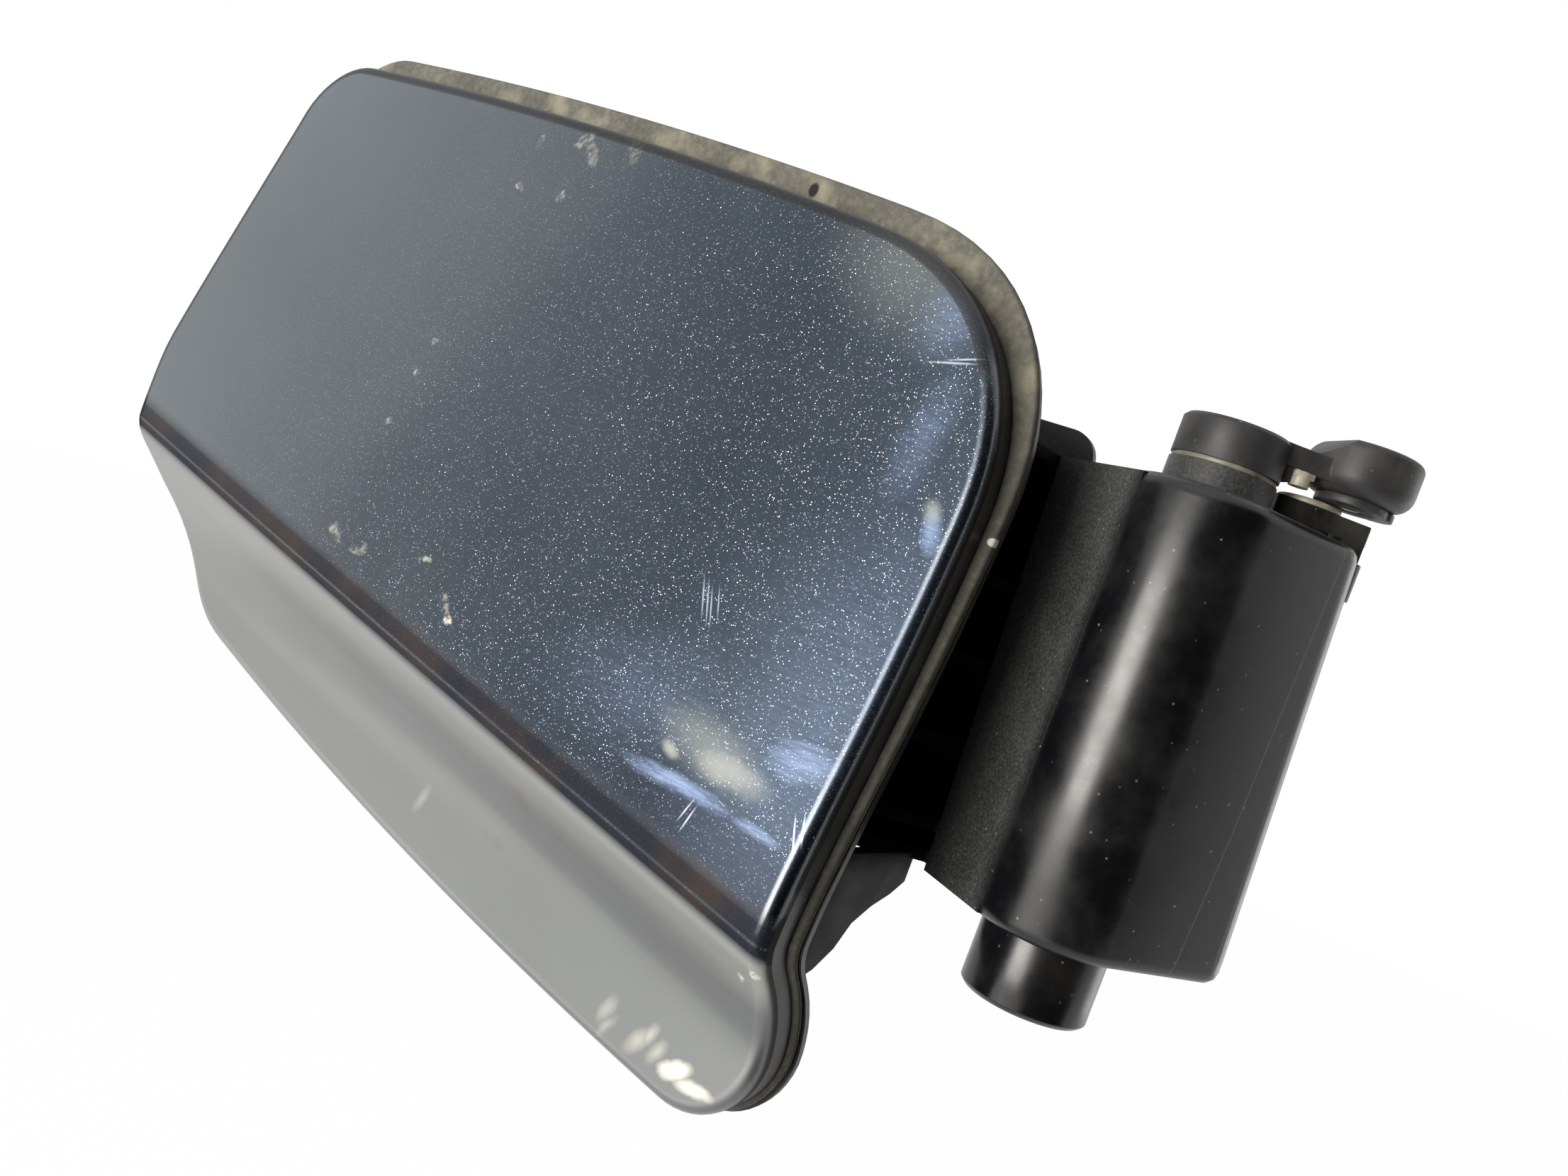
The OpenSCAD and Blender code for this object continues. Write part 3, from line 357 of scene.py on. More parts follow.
def car_paint():
    """Sprayed metallic basecoat under lacquer: dark navy with pin-point glitter, hazed by rubbing, with
    painted shade and painted light in places.
    """
    paint, t = blank("metallic_basecoat_and_lacquer")
    where = add(t, "ShaderNodeTexCoord", {}, "Object")
    # what the mesh holds for each point: see mark()
    cove, lit_below_fold, fold, edge, rolled = (
        add(t, "ShaderNodeAttribute", {}, "Fac", attribute_name=name)
        for name in ("cove", "painted_light_below_fold", "fold", "rolled_edge_shade", "rolled"))
    # two wavering copies of the place, for ragged and for soft edges
    wander = add(t, "ShaderNodeTexNoise", {
        "Vector": where, "Scale": 1 / 0.009, "Detail": 5.0, "Roughness": 0.6}, "Color")
    shift = add(t, "ShaderNodeVectorMath", {0: wander, 1: (0.5, 0.5, 0.5)}, 0, operation="SUBTRACT")
    ragged, wavering = (
        add(t, "ShaderNodeVectorMath", {
            0: shift, 1: (reach * MM,) * 3, 2: where}, 0, operation="MULTIPLY_ADD")
        for reach in (7, 3))
    # flakes are 0.05 mm; drawn 0.33 mm apart so that they show, and tilted so that some catch a lamp
    glitter, hue = specks(t, where, 0.33, 0.6)
    near = patch(t, where, (-50, 35), (150, 130))
    zone = add(t, "ShaderNodeValToRGB", {"Fac": near}, "Color", [(0.0, grey(0.12)), (0.5, WHITE)])
    plain = add(t, "ShaderNodeMath", {0: 1.0, 1: cove}, 0, operation="SUBTRACT")
    for share in (zone, plain):
        glitter = add(t, "ShaderNodeMath", {0: glitter, 1: share}, 0, **TIMES)
    tilt = add(t, "ShaderNodeVectorMath", {0: hue, 1: (0.5, 0.5, 0.5)}, 0, operation="SUBTRACT")
    lean = add(t, "ShaderNodeMath", {0: glitter, 1: 0.75}, 0, **TIMES)
    tilt = add(t, "ShaderNodeVectorMath", {0: tilt, "Scale": lean}, 0, operation="SCALE")
    upright = add(t, "ShaderNodeNewGeometry", {}, "Normal")
    flake = add(t, "ShaderNodeVectorMath", {0: upright, 1: tilt}, 0, operation="ADD")
    flake = add(t, "ShaderNodeVectorMath", {0: flake}, 0, operation="NORMALIZE")
    tint = add(t, "ShaderNodeMix", {"Factor": 0.2, "A": linear("#a9bdd6"), "B": hue}, "Result", **OVER)
    tone = add(t, "ShaderNodeTexNoise", {"Vector": where, "Scale": 1 / 0.05, "Detail": 3.0}, "Fac")
    navy = add(t, "ShaderNodeValToRGB", {
        "Fac": tone}, "Color", [(0.35, linear("#1e2833")), (0.65, linear("#29343f"))])
    # the base is painted darker just over the fold, near the hinge, as painted shade
    depth = add(t, "ShaderNodeMapRange", {
        "Value": patch(t, where, (-38, 5.5), (10, 30), 99), "From Max": 0.6}, 0,
                **SOFT_STEP)
    depth = add(t, "ShaderNodeMath", {0: depth, 1: 0.75}, 0, **TIMES)
    # haze: warm and soft where the lacquer is dulled; blue and finely brushed where it was rubbed, the blue
    # partly a painted reflection of sky
    hazes = []
    for patches in (GLOW, SMEAR_AND_SKY_SHEEN):
        layer = None
        for centre, size, turn, strength in patches:
            cloud = patch(t, wavering, centre, size, turn)
            cloud = add(t, "ShaderNodeMapRange", {"Value": cloud}, 0, **SOFT_STEP)
            cloud = add(t, "ShaderNodeMath", {0: cloud, 1: strength}, 0, **TIMES)
            layer = add(t, "ShaderNodeMath", {0: layer, 1: cloud}, 0, **MOST) if layer else cloud
        hazes.append(layer)
    strokes = add(t, "ShaderNodeMapping", {
        "Vector": where, "Rotation": (0, -0.9, 0), "Scale": (260, 260, 2200)}, 0)
    strokes = add(t, "ShaderNodeTexNoise", {"Vector": strokes, "Scale": 1.0, "Detail": 5.0}, "Fac")
    strokes = add(t, "ShaderNodeValToRGB", {"Fac": strokes}, "Color", [(0.35, grey(0.4)), (0.7, WHITE)])
    glow, smear_and_sky_sheen = hazes[0], add(t, "ShaderNodeMath", {0: hazes[1], 1: strokes}, 0, **TIMES)
    haze = add(t, "ShaderNodeMath", {0: glow, 1: smear_and_sky_sheen}, 0, **PLUS)
    spots = []
    for patches, ground, reach in ((DIRT, ragged, 0.45), (SMUDGE, wavering, 0.45), (RUBBED_AND_SUN_GLINTS, wavering, 0.9)):
        layer = None
        for centre, size, turn, strength in patches:
            spot = patch(t, ground, centre, size, turn)
            spot = add(t, "ShaderNodeValToRGB", {"Fac": spot}, "Color", [(0.05, BLACK), (reach, WHITE)])
            spot = add(t, "ShaderNodeMath", {0: spot, 1: strength}, 0, **TIMES)
            layer = add(t, "ShaderNodeMath", {0: layer, 1: spot}, 0, **MOST) if layer else spot
        spots.append(layer)
    dirt, smudge, rubbed_and_sun_glints = spots
    crumbs = add(t, "ShaderNodeTexNoise", {"Vector": where, "Scale": 1 / 0.0009, "Detail": 3.0}, "Fac")
    crumbs = add(t, "ShaderNodeValToRGB", {"Fac": crumbs}, "Color", [(0.42, grey(0.1)), (0.62, WHITE)])
    dirt = add(t, "ShaderNodeMath", {0: dirt, 1: crumbs}, 0, **TIMES)
    scratch = None
    for centre, size, turn in SCRATCHES:
        line = patch(t, where, centre, size, turn)
        scratch = add(t, "ShaderNodeMath", {0: scratch, 1: line}, 0, **PLUS) if scratch else line
    scratch = add(t, "ShaderNodeMath", {0: scratch, 1: 0.8}, 0, **TIMES)
    # a film of dust, thicker toward the free edge and thickest in the cove; the extra there also paints the
    # lighter reflection on the free side and in the cove
    clouds = add(t, "ShaderNodeTexNoise", {
        "Vector": where, "Scale": 1 / 0.03, "Detail": 6.0, "Roughness": 0.6}, "Fac")
    free_side_reflection = patch(t, where, (-215, 45), (150, 190))
    film = add(t, "ShaderNodeMath", {0: clouds, 1: 0.06}, 0, **TIMES)
    for place, share in ((free_side_reflection, 0.16), (cove, 0.3)):
        more = add(t, "ShaderNodeMath", {0: place, 1: share}, 0, **TIMES)
        film = add(t, "ShaderNodeMath", {0: film, 1: more}, 0, **PLUS)
    # a dark, brownish band runs along the fold over the cove, with a rubbed thread in it: partly dirt, partly
    # painted dark reflection
    line = add(t, "ShaderNodeValToRGB", {"Fac": fold}, "Color", [
        (0.0, BLACK), (0.24, grey(0.9)), (0.6, grey(0.95)), (0.66, grey(0.45)), (0.71, grey(0.95)),
        (0.88, WHITE), (1.0, BLACK)])
    line = add(t, "ShaderNodeMath", {0: line, 1: 0.95}, 0, **TIMES)
    fold_reflection_and_dirt = add(t, "ShaderNodeTexNoise", {"Vector": where, "Scale": 1 / 0.014, "Detail": 4.0}, "Fac")
    fold_reflection_and_dirt = add(t, "ShaderNodeValToRGB", {"Fac": fold_reflection_and_dirt}, "Color", [
        (0.42, linear("#14151f")), (0.62, linear("#2a221e"))])
    # the dust is paler in the cove, partly a painted reflection of the bright ground
    dust, mud = (add(t, "ShaderNodeMix", {"Factor": cove, "A": linear(a), "B": linear(b)}, "Result", **OVER)
                 for a, b in (("#85898a", "#95958f"), ("#3b3f3d", "#5f5340")))
    colour = navy
    # painted light and shade among these layers: the dark patch over the fold, the pale slope under it, part
    # of the blue smear, the brightest pale spots at the cove's foot, the dark band at the fold and the dark
    # rolled edge
    for share, laid in (
        (glitter, tint), (depth, linear("#131925")), (film, dust), (lit_below_fold, linear("#c9c9c1")),
        (glow, linear("#8b8e86")), (smear_and_sky_sheen, linear("#7d94bd")), (scratch, linear("#b9c4d2")),
        (dirt, linear("#b4b1a2")), (smudge, mud), (rubbed_and_sun_glints, linear("#f0ead8")), (line, fold_reflection_and_dirt),
        (edge, linear("#171310")),
    ):
        colour = add(t, "ShaderNodeMix", {"Factor": share, "A": colour, "B": laid}, "Result", **OVER)
    # dust, dirt and the painted shade along the fold and the rolled edge hide metal and lacquer; the rolled
    # edge kept its lacquer best
    soiled = add(t, "ShaderNodeMath", {0: film, 1: haze}, 0, **PLUS)
    dirt_and_painted_shade = add(t, "ShaderNodeMath", {0: line, 1: edge}, 0, **PLUS)
    bare = add(t, "ShaderNodeMath", {0: dirt_and_painted_shade, 1: dirt}, 0, **PLUS)
    dull = add(t, "ShaderNodeMath", {0: soiled, 1: bare}, 0, **PLUS)
    metal = add(t, "ShaderNodeMath", {0: 1.0, 1: dull}, 0, operation="SUBTRACT", use_clamp=True)
    rough = add(t, "ShaderNodeMapRange", {"Value": dull, "To Min": 0.34, "To Max": 0.6}, 0)
    shine = add(t, "ShaderNodeMapRange", {"Value": dirt_and_painted_shade, "To Min": 0.5, "To Max": 0.04}, 0)
    fresh = add(t, "ShaderNodeMapRange", {"Value": rolled, "To Min": 0.55, "To Max": 1.0}, 0)
    clear = add(t, "ShaderNodeMapRange", {"Value": bare, "To Min": 1.0, "To Max": 0.02}, 0)
    coat = add(t, "ShaderNodeMath", {0: fresh, 1: clear}, 0, **TIMES)
    worn = add(t, "ShaderNodeMath", {0: rolled, 1: 0.22}, 0, **TIMES)
    gloss = add(t, "ShaderNodeMath", {0: soiled, 1: worn}, 0, **PLUS)
    gloss = add(t, "ShaderNodeMapRange", {"Value": gloss, "To Min": 0.07, "To Max": 0.5}, 0)
    lacquer = add(t, "ShaderNodeBsdfPrincipled", {
        "Base Color": colour, "Metallic": metal, "Roughness": rough, "Specular IOR Level": shine,
        "Normal": flake, "Coat Weight": coat, "Coat Roughness": gloss, "Coat IOR": 1.5}, "BSDF")
    add(t, "ShaderNodeOutputMaterial", {"Surface": lacquer})
    return paint


def dusty_rubber():
    """EPDM lip, extruded and weathered: grey-brown with road dust, quite matt, a few chips."""
    paint, t = blank("weathered_epdm_rubber")
    where = add(t, "ShaderNodeTexCoord", {}, "Object")
    grain = add(t, "ShaderNodeTexNoise", {
        "Vector": where, "Scale": 1 / 0.0012, "Detail": 8.0, "Roughness": 0.7}, "Fac")
    broad = add(t, "ShaderNodeTexNoise", {"Vector": where, "Scale": 1 / 0.02, "Detail": 3.0}, "Fac")
    dark = add(t, "ShaderNodeValToRGB", {"Fac": broad}, "Color", [(0.4, grey(0.35)), (0.65, BLACK)])
    # pale dust mottling lies only along the top, where it also paints the sunlit top; lower down, as on the
    # hinge side, the lip is painted darker as shade
    height = add(t, "ShaderNodeSeparateXYZ", {0: where}, "Z")
    high = add(t, "ShaderNodeMapRange", {"Value": height, "From Min": 0.07, "From Max": 0.095}, 0)
    low = add(t, "ShaderNodeMapRange", {"Value": high, "To Min": 0.35, "To Max": 0.0}, 0)
    pale = add(t, "ShaderNodeTexNoise", {"Vector": where, "Scale": 1 / 0.009, "Detail": 6.0}, "Fac")
    pale = add(t, "ShaderNodeValToRGB", {"Fac": pale}, "Color", [(0.5, BLACK), (0.68, grey(0.55))])
    pale = add(t, "ShaderNodeMath", {0: pale, 1: high}, 0, **TIMES)
    notch, chip = (
        add(t, "ShaderNodeValToRGB", {
            "Fac": patch(t, where, centre, size)}, "Color", [(0.2, BLACK), (full, WHITE)])
        for centre, size, full in (((-76.5, 108.1), (1.6, 2.0), 0.5), ((-19.6, 61.0), (1.3, 0.9), 0.4)))
    colour = add(t, "ShaderNodeValToRGB", {"Fac": grain}, "Color", [
        (0.3, linear("#55534b")), (0.55, linear("#6d6b62")), (0.75, linear("#8a897f"))])
    for share, laid in (
        (dark, "#35342f"), (pale, "#a39e86"), (low, "#2c2b27"), (notch, "#15140f"), (chip, "#d8d5c8"),
    ):
        colour = add(t, "ShaderNodeMix", {"Factor": share, "A": colour, "B": linear(laid)}, "Result", **OVER)
    bump = add(t, "ShaderNodeBump", {"Height": grain, "Strength": 0.3, "Distance": 0.0003}, "Normal")
    rubber = add(t, "ShaderNodeBsdfPrincipled", {
        "Base Color": colour, "Roughness": 0.75, "Specular IOR Level": 0.3, "Normal": bump}, "BSDF")
    add(t, "ShaderNodeOutputMaterial", {"Surface": rubber})
    return paint


# The arm in plan: along its flat face away from the barrel, in mm for each metre, and the face's outlook
ALONG_FACE, FACE_OUT = (-813.0, 582.0, 0.0), (-0.58, -0.81, 0.0)
# Just under the arm's top in metres, then the plane of the mould's parting line: its lean and its place in mm
ARM_TOP, SPLIT_LEAN, SPLIT_Y = 0.0799, (0.0, 1000.0, -53.0), 4.6


def moulded_plastic(name, hex_code, rough, dust=0.2, dust_hex="#7d7a70", grain_mm=0.5, bump_mm=0.05, face=0.0,
                    specular=0.3):
    """Glass-filled polyamide or ABS, injection moulded: near black, fine-grained, with dust and pale specks.

    With face above 0 the flat front of the arm carries more dust than its polished barrel, and the channel
    behind it is painted near black as shade.
    """
    paint, t = blank(name)
    where = add(t, "ShaderNodeTexCoord", {}, "Object")
    grain = add(t, "ShaderNodeTexNoise", {
        "Vector": where, "Scale": 1 / (grain_mm * MM), "Detail": 4.0}, "Fac")
    clouds = add(t, "ShaderNodeTexNoise", {
        "Vector": where, "Scale": 1 / 0.012, "Detail": 8.0, "Roughness": 0.62}, "Fac")
    film = add(t, "ShaderNodeValToRGB", {"Fac": clouds}, "Color", [(0.45, BLACK), (0.8, grey(dust))])
    fine, _ = specks(t, where, 0.8, 0.03)
    fine = add(t, "ShaderNodeMath", {0: fine, 1: 0.5}, 0, **TIMES)
    wear = add(t, "ShaderNodeMapRange", {
        "Value": clouds, "From Min": 0.35, "From Max": 0.75,
        "To Min": rough - 0.07, "To Max": rough + 0.12}, 0)
    coats = [(fine, "#a5a399")]
    if face:
        place = add(t, "ShaderNodeSeparateXYZ", {0: where})
        outlook = add(t, "ShaderNodeTexCoord", {}, "Normal")
        along = add(t, "ShaderNodeVectorMath", {0: where, 1: ALONG_FACE}, "Value", operation="DOT_PRODUCT")
        facing = add(t, "ShaderNodeVectorMath", {0: outlook, 1: FACE_OUT}, "Value", operation="DOT_PRODUCT")
        front = add(t, "ShaderNodeMath", {0: facing, 1: 0.93}, 0, operation="GREATER_THAN")
        top = add(t, "ShaderNodeMath", {0: place.outputs["Z"], 1: ARM_TOP}, 0, operation="GREATER_THAN")
        # dust on the flat face and, thinner, on the top
        flat = add(t, "ShaderNodeMapRange", {
            "Value": along, "From Min": -1.5, "From Max": 4.0}, 0, **SOFT_STEP)
        flat = add(t, "ShaderNodeMath", {0: flat, 1: front}, 0, **TIMES)
        thinner = add(t, "ShaderNodeMath", {0: top, 1: 0.7}, 0, **TIMES)
        flat = add(t, "ShaderNodeMath", {0: flat, 1: thinner}, 0, **MOST)
        speckle = add(t, "ShaderNodeValToRGB", {"Fac": grain}, "Color", [(0.4, grey(0.25)), (0.7, WHITE)])
        dusty = add(t, "ShaderNodeMath", {0: flat, 1: face}, 0, **TIMES)
        dusty = add(t, "ShaderNodeMath", {0: dusty, 1: speckle}, 0, **TIMES)
        film = add(t, "ShaderNodeMath", {0: film, 1: dusty}, 0, **PLUS)
        # the channel behind the face is rough from the mould and hardly shines; its colour is painted near
        # black over the dust, as painted shade
        shaded_channel = add(t, "ShaderNodeMath", {0: along, 1: 6.0}, 0, operation="GREATER_THAN")
        for shown in (front, top):
            rest = add(t, "ShaderNodeMath", {0: 1.0, 1: shown}, 0, operation="SUBTRACT")
            shaded_channel = add(t, "ShaderNodeMath", {0: shaded_channel, 1: rest}, 0, **TIMES)
        over_foot = add(t, "ShaderNodeMapRange", {
            "Value": place.outputs["Z"], "From Min": 0.005, "From Max": 0.012, "To Min": 0.8}, 0)
        shaded_channel = add(t, "ShaderNodeMath", {0: shaded_channel, 1: over_foot}, 0, **TIMES)
        specular = add(t, "ShaderNodeMapRange", {"Value": shaded_channel, "To Min": specular, "To Max": 0.08}, 0)
        for part, share in ((flat, 0.3), (shaded_channel, 0.5)):
            rougher = add(t, "ShaderNodeMath", {0: part, 1: share}, 0, **TIMES)
            wear = add(t, "ShaderNodeMath", {0: wear, 1: rougher}, 0, **PLUS)
        # the mould's parting line runs down the barrel's inboard side
        split = add(t, "ShaderNodeVectorMath", {0: where, 1: SPLIT_LEAN}, "Value", operation="DOT_PRODUCT")
        split = add(t, "ShaderNodeMath", {0: split, 1: SPLIT_Y}, 0, operation="SUBTRACT")
        split = add(t, "ShaderNodeMath", {0: split}, 0, operation="ABSOLUTE")
        split = add(t, "ShaderNodeMath", {0: split, 1: 0.14}, 0, operation="LESS_THAN")
        beyond = add(t, "ShaderNodeMath", {0: place.outputs["X"], 1: 0.012}, 0, operation="GREATER_THAN")
        for share in (beyond, 0.6):
            split = add(t, "ShaderNodeMath", {0: split, 1: share}, 0, **TIMES)
        coats += [(shaded_channel, "#0d0e11"), (split, "#4b4a45")]
    colour = linear(hex_code)
    for share, laid in [(film, dust_hex)] + coats:
        colour = add(t, "ShaderNodeMix", {"Factor": share, "A": colour, "B": linear(laid)}, "Result", **OVER)
    bump = add(t, "ShaderNodeBump", {"Height": grain, "Strength": 0.3, "Distance": bump_mm * MM}, "Normal")
    plastic = add(t, "ShaderNodeBsdfPrincipled", {
        "Base Color": colour, "Roughness": wear, "Specular IOR Level": specular, "Normal": bump}, "BSDF")
    add(t, "ShaderNodeOutputMaterial", {"Surface": plastic})
    return paint


def natural_acetal(name="natural_acetal", low="#6e695b", high="#bdb8a6"):
    """Unpigmented acetal, injection moulded: milky ivory gone grey with dirt, a little light goes into it."""
    paint, t = blank(name)
    where = add(t, "ShaderNodeTexCoord", {}, "Object")
    tone = add(t, "ShaderNodeTexNoise", {"Vector": where, "Scale": 1 / 0.006, "Detail": 5.0}, "Fac")
    colour = add(t, "ShaderNodeValToRGB", {"Fac": tone}, "Color", [(0.35, linear(low)), (0.7, linear(high))])
    acetal = add(t, "ShaderNodeBsdfPrincipled", {
        "Base Color": colour, "Roughness": 0.42,
        "Subsurface Weight": 0.25, "Subsurface Scale": 0.002}, "BSDF")
    add(t, "ShaderNodeOutputMaterial", {"Surface": acetal})
    return paint


def plated_steel(name, hex_code, rough):
    """Zinc-plated or spring steel: grey metal with a faint drawn grain and dull spots."""
    paint, t = blank(name)
    where = add(t, "ShaderNodeTexCoord", {}, "Object")
    spots = add(t, "ShaderNodeTexNoise", {"Vector": where, "Scale": 1 / 0.0025, "Detail": 6.0}, "Fac")
    colour = add(t, "ShaderNodeValToRGB", {"Fac": spots}, "Color", [
        (0.35, linear("#5f6163")), (0.65, linear(hex_code))])
    wear = add(t, "ShaderNodeMapRange", {"Value": spots, "To Min": rough + 0.15, "To Max": rough - 0.1}, 0)
    steel = add(t, "ShaderNodeBsdfPrincipled", {
        "Base Color": colour, "Metallic": 1.0, "Roughness": wear}, "BSDF")
    add(t, "ShaderNodeOutputMaterial", {"Surface": steel})
    return paint


PAINT = car_paint()
LIP = dusty_rubber()
CARRIER = moulded_plastic("carrier_abs", "#141517", 0.42, dust=0.25)
ARM = moulded_plastic(
    "arm_polyamide", "#090a0c", 0.29, dust=0.05, dust_hex="#777a78", grain_mm=0.45, bump_mm=0.012, face=0.33,
    specular=0.5)
SPINDLE = moulded_plastic("spindle_polyamide", "#0b0c0e", 0.25, dust=0.05, bump_mm=0.01, specular=0.42)
LINK = moulded_plastic("link_polyamide", "#2b2b2c", 0.48, dust=0.22, grain_mm=0.35, bump_mm=0.06)
WASHER = natural_acetal("grimy_acetal", "#3c3a33", "#8d897a")
BUFFER = moulded_plastic("buffer_epdm", "#161616", 0.7, dust=0.2)
ACETAL = natural_acetal()
ZINC = plated_steel("zinc_plated_steel", "#a9adb1", 0.35)
SPRING = plated_steel("spring_steel", "#8d8f90", 0.35)

# Flap
roll_steps = [1, 0.8, 0.62, 0.46, 0.32, 0.2, 0.1, 0.03]


def roll(d):
    return ROLL_R - math.sqrt(max(ROLL_R ** 2 - (ROLL_R - d) ** 2, 0))


def sheet(grow, back):
    return [grid_point(grow, i, j, back) for i in range(len(ROWS)) for j in range(COLS)]


edge_loops = [(-f * ROLL_R, roll(f * ROLL_R)) for f in roll_steps]
edge_loops += [(0, ROLL_R), (0, 2.4), (0, 2.9), (0, TURN_IN), (-SKIN_T, TURN_IN), (-SKIN_T, SKIN_T)]
skin = new_piece("painted_skin", "flap", ["outer_skin"], "car_paint", PAINT, *shell_mesh(
    sheet(even(-CARRIER_IN), 0), [rim_loop(even(g), depth) for g, depth in edge_loops],
    sheet(even(-CARRIER_IN), SKIN_T)))


def ease(value, a, b, c, d):
    """0 outside a to d, 1 between b and c."""
    return max(0, min(1, (value - a) / (b - a), (d - value) / (d - c)))


def mark(name, value):
    """Store on each point of the painted skin a number that its material reads."""
    skin.data.attributes.new(name, "FLOAT", "POINT").data.foreach_set("value", value)


def step(value, start, run):
    """0 up to start, then rising to 1 over the run."""
    return min(max((value - start) / run, 0), 1)


# Painted shade on the rolled edge, standing for its dark reflection: from where it starts behind the face,
# over how many mm it grows, and its most
EDGE_SHADE_FROM, EDGE_SHADE_RUN, EDGE_SHADE_MOST = 1.2, 1.3, 0.94
# Away from the hinge, from this far off its edge, the rolled edge is painted dark as shade
SHADE_OFF_HINGE, FAR_EDGE_SHADE = 6, 0.7
# The cove and the dark band over the fold: where they start over the crease, and how wide they grow
COVE_FROM, COVE_RUN = 0.6, 1.8
BAND_FROM, BAND_RUN = 6.2, 6.6

front_count = len(ROWS) * COLS
edge_shade_share, over = [0.0] * front_count, [0.0] * front_count
for g, depth in edge_loops:
    edge_shade_share += [step(depth, EDGE_SHADE_FROM, EDGE_SHADE_RUN) * EDGE_SHADE_MOST] * len(RIM)
    over += [1.0 if g < 0 and depth < TURN_IN else 0.6] * len(RIM)
places = [(v.co.x / MM, v.co.z / MM) for v in skin.data.vertices]
for k in range(front_count, len(edge_shade_share)):
    x, z = places[k]
    if x < HINGE_X - SHADE_OFF_HINGE and z > crease_z(x):
        edge_shade_share[k], over[k] = max(edge_shade_share[k], FAR_EDGE_SHADE), 0.0
# the rolled edge and the skin's back carry painted shade, laid on as dark brown
mark("rolled_edge_shade", edge_shade_share + [0.5] * front_count)
mark("rolled", over + [0.0] * front_count)
mark("cove", [step(crease_z(x) - z, -COVE_FROM, COVE_RUN) for x, z in places])
# painted light: the cove's top slope just under the fold is painted paler, more so toward the hinge
mark("painted_light_below_fold", [0.35 * across(x) * ease(crease_z(x) - z, -0.5, 1.5, 5, 10) for x, z in places])
mark("fold", [step(crease_z(x) - z, -BAND_FROM, BAND_RUN) for x, z in places])

back = LIP_BACK + LIP_T


def shrink(g, by):
    return tuple(v - by for v in g[:4]) + (g[4],)


# The lip's section: rounded edges and a fine groove along its side
lip_loops = [rim_loop(even(-WALL_OUT), LIP_BACK), rim_loop(even(-WALL_OUT), back)]
for depth, inset in [
    (0, 0.6), (0.08, 0.3), (0.3, 0.08), (0.6, 0), (0.95, 0), (1.02, 0.22), (1.18, 0.22), (1.25, 0),
    (1.6, 0), (1.9, 0.08), (2.12, 0.3), (2.2, 0.6),
]:
    lip_loops.append(rim_loop(shrink(LIP_REACH, inset), back - depth))
new_piece("seal_lip", "flap", ["sealing_lip"], "lip_rubber", LIP, *ring_mesh(lip_loops))

# The carrier's back is flat where the arm is screwed on, and eases into the tray round it
seat_mid = ((ROOT_X[0] + ROOT_X[1]) / 2, (ROOT_Z[0] + ROOT_Z[1]) / 2)
seat_base = face_y(*seat_mid) + SKIN_T + CARRIER_T + SEAT_H


# Where the seat rises and falls again, in shares of the panel's width
SEAT_ACROSS = (0.49, 0.56, 0.95, 1.0)


def tray_point(i, j):
    x, y, z = grid_point(even(-CARRIER_IN - WALL), i, j, SKIN_T + CARRIER_T)
    kind, value = ROWS[i]
    level = {"top": ease(value, 62, 76, 90, 91), "mid": 1, "crease": ease(value, 2, 5, 20, 21)}.get(kind, 0)
    seat = level * ease(j / (COLS - 1), *SEAT_ACROSS)
    return (x, y + (seat_base + LEAN * (z - seat_mid[1]) - y) * seat, z)


new_piece("carrier_moulding", "flap", ["inner_carrier"], "carrier_plastic", CARRIER, *shell_mesh(
    sheet(even(-CARRIER_IN), SKIN_T),
    [rim_loop(even(-CARRIER_IN), TURN_IN + 0.3), rim_loop(even(-WALL_OUT), TURN_IN + 0.3),
     rim_loop(even(-WALL_OUT), back), rim_loop(FLANGE_REACH, back),
     rim_loop(shrink(FLANGE_REACH, 0.1), back + 0.3),
     rim_loop(shrink(FLANGE_REACH, 0.1), back + FLANGE_T - 0.4),
     rim_loop(shrink(FLANGE_REACH, 0.4), back + FLANGE_T),
     rim_loop(even(-CARRIER_IN - WALL), back + FLANGE_T)],
    [tray_point(i, j) for i in range(len(ROWS)) for j in range(COLS)]))

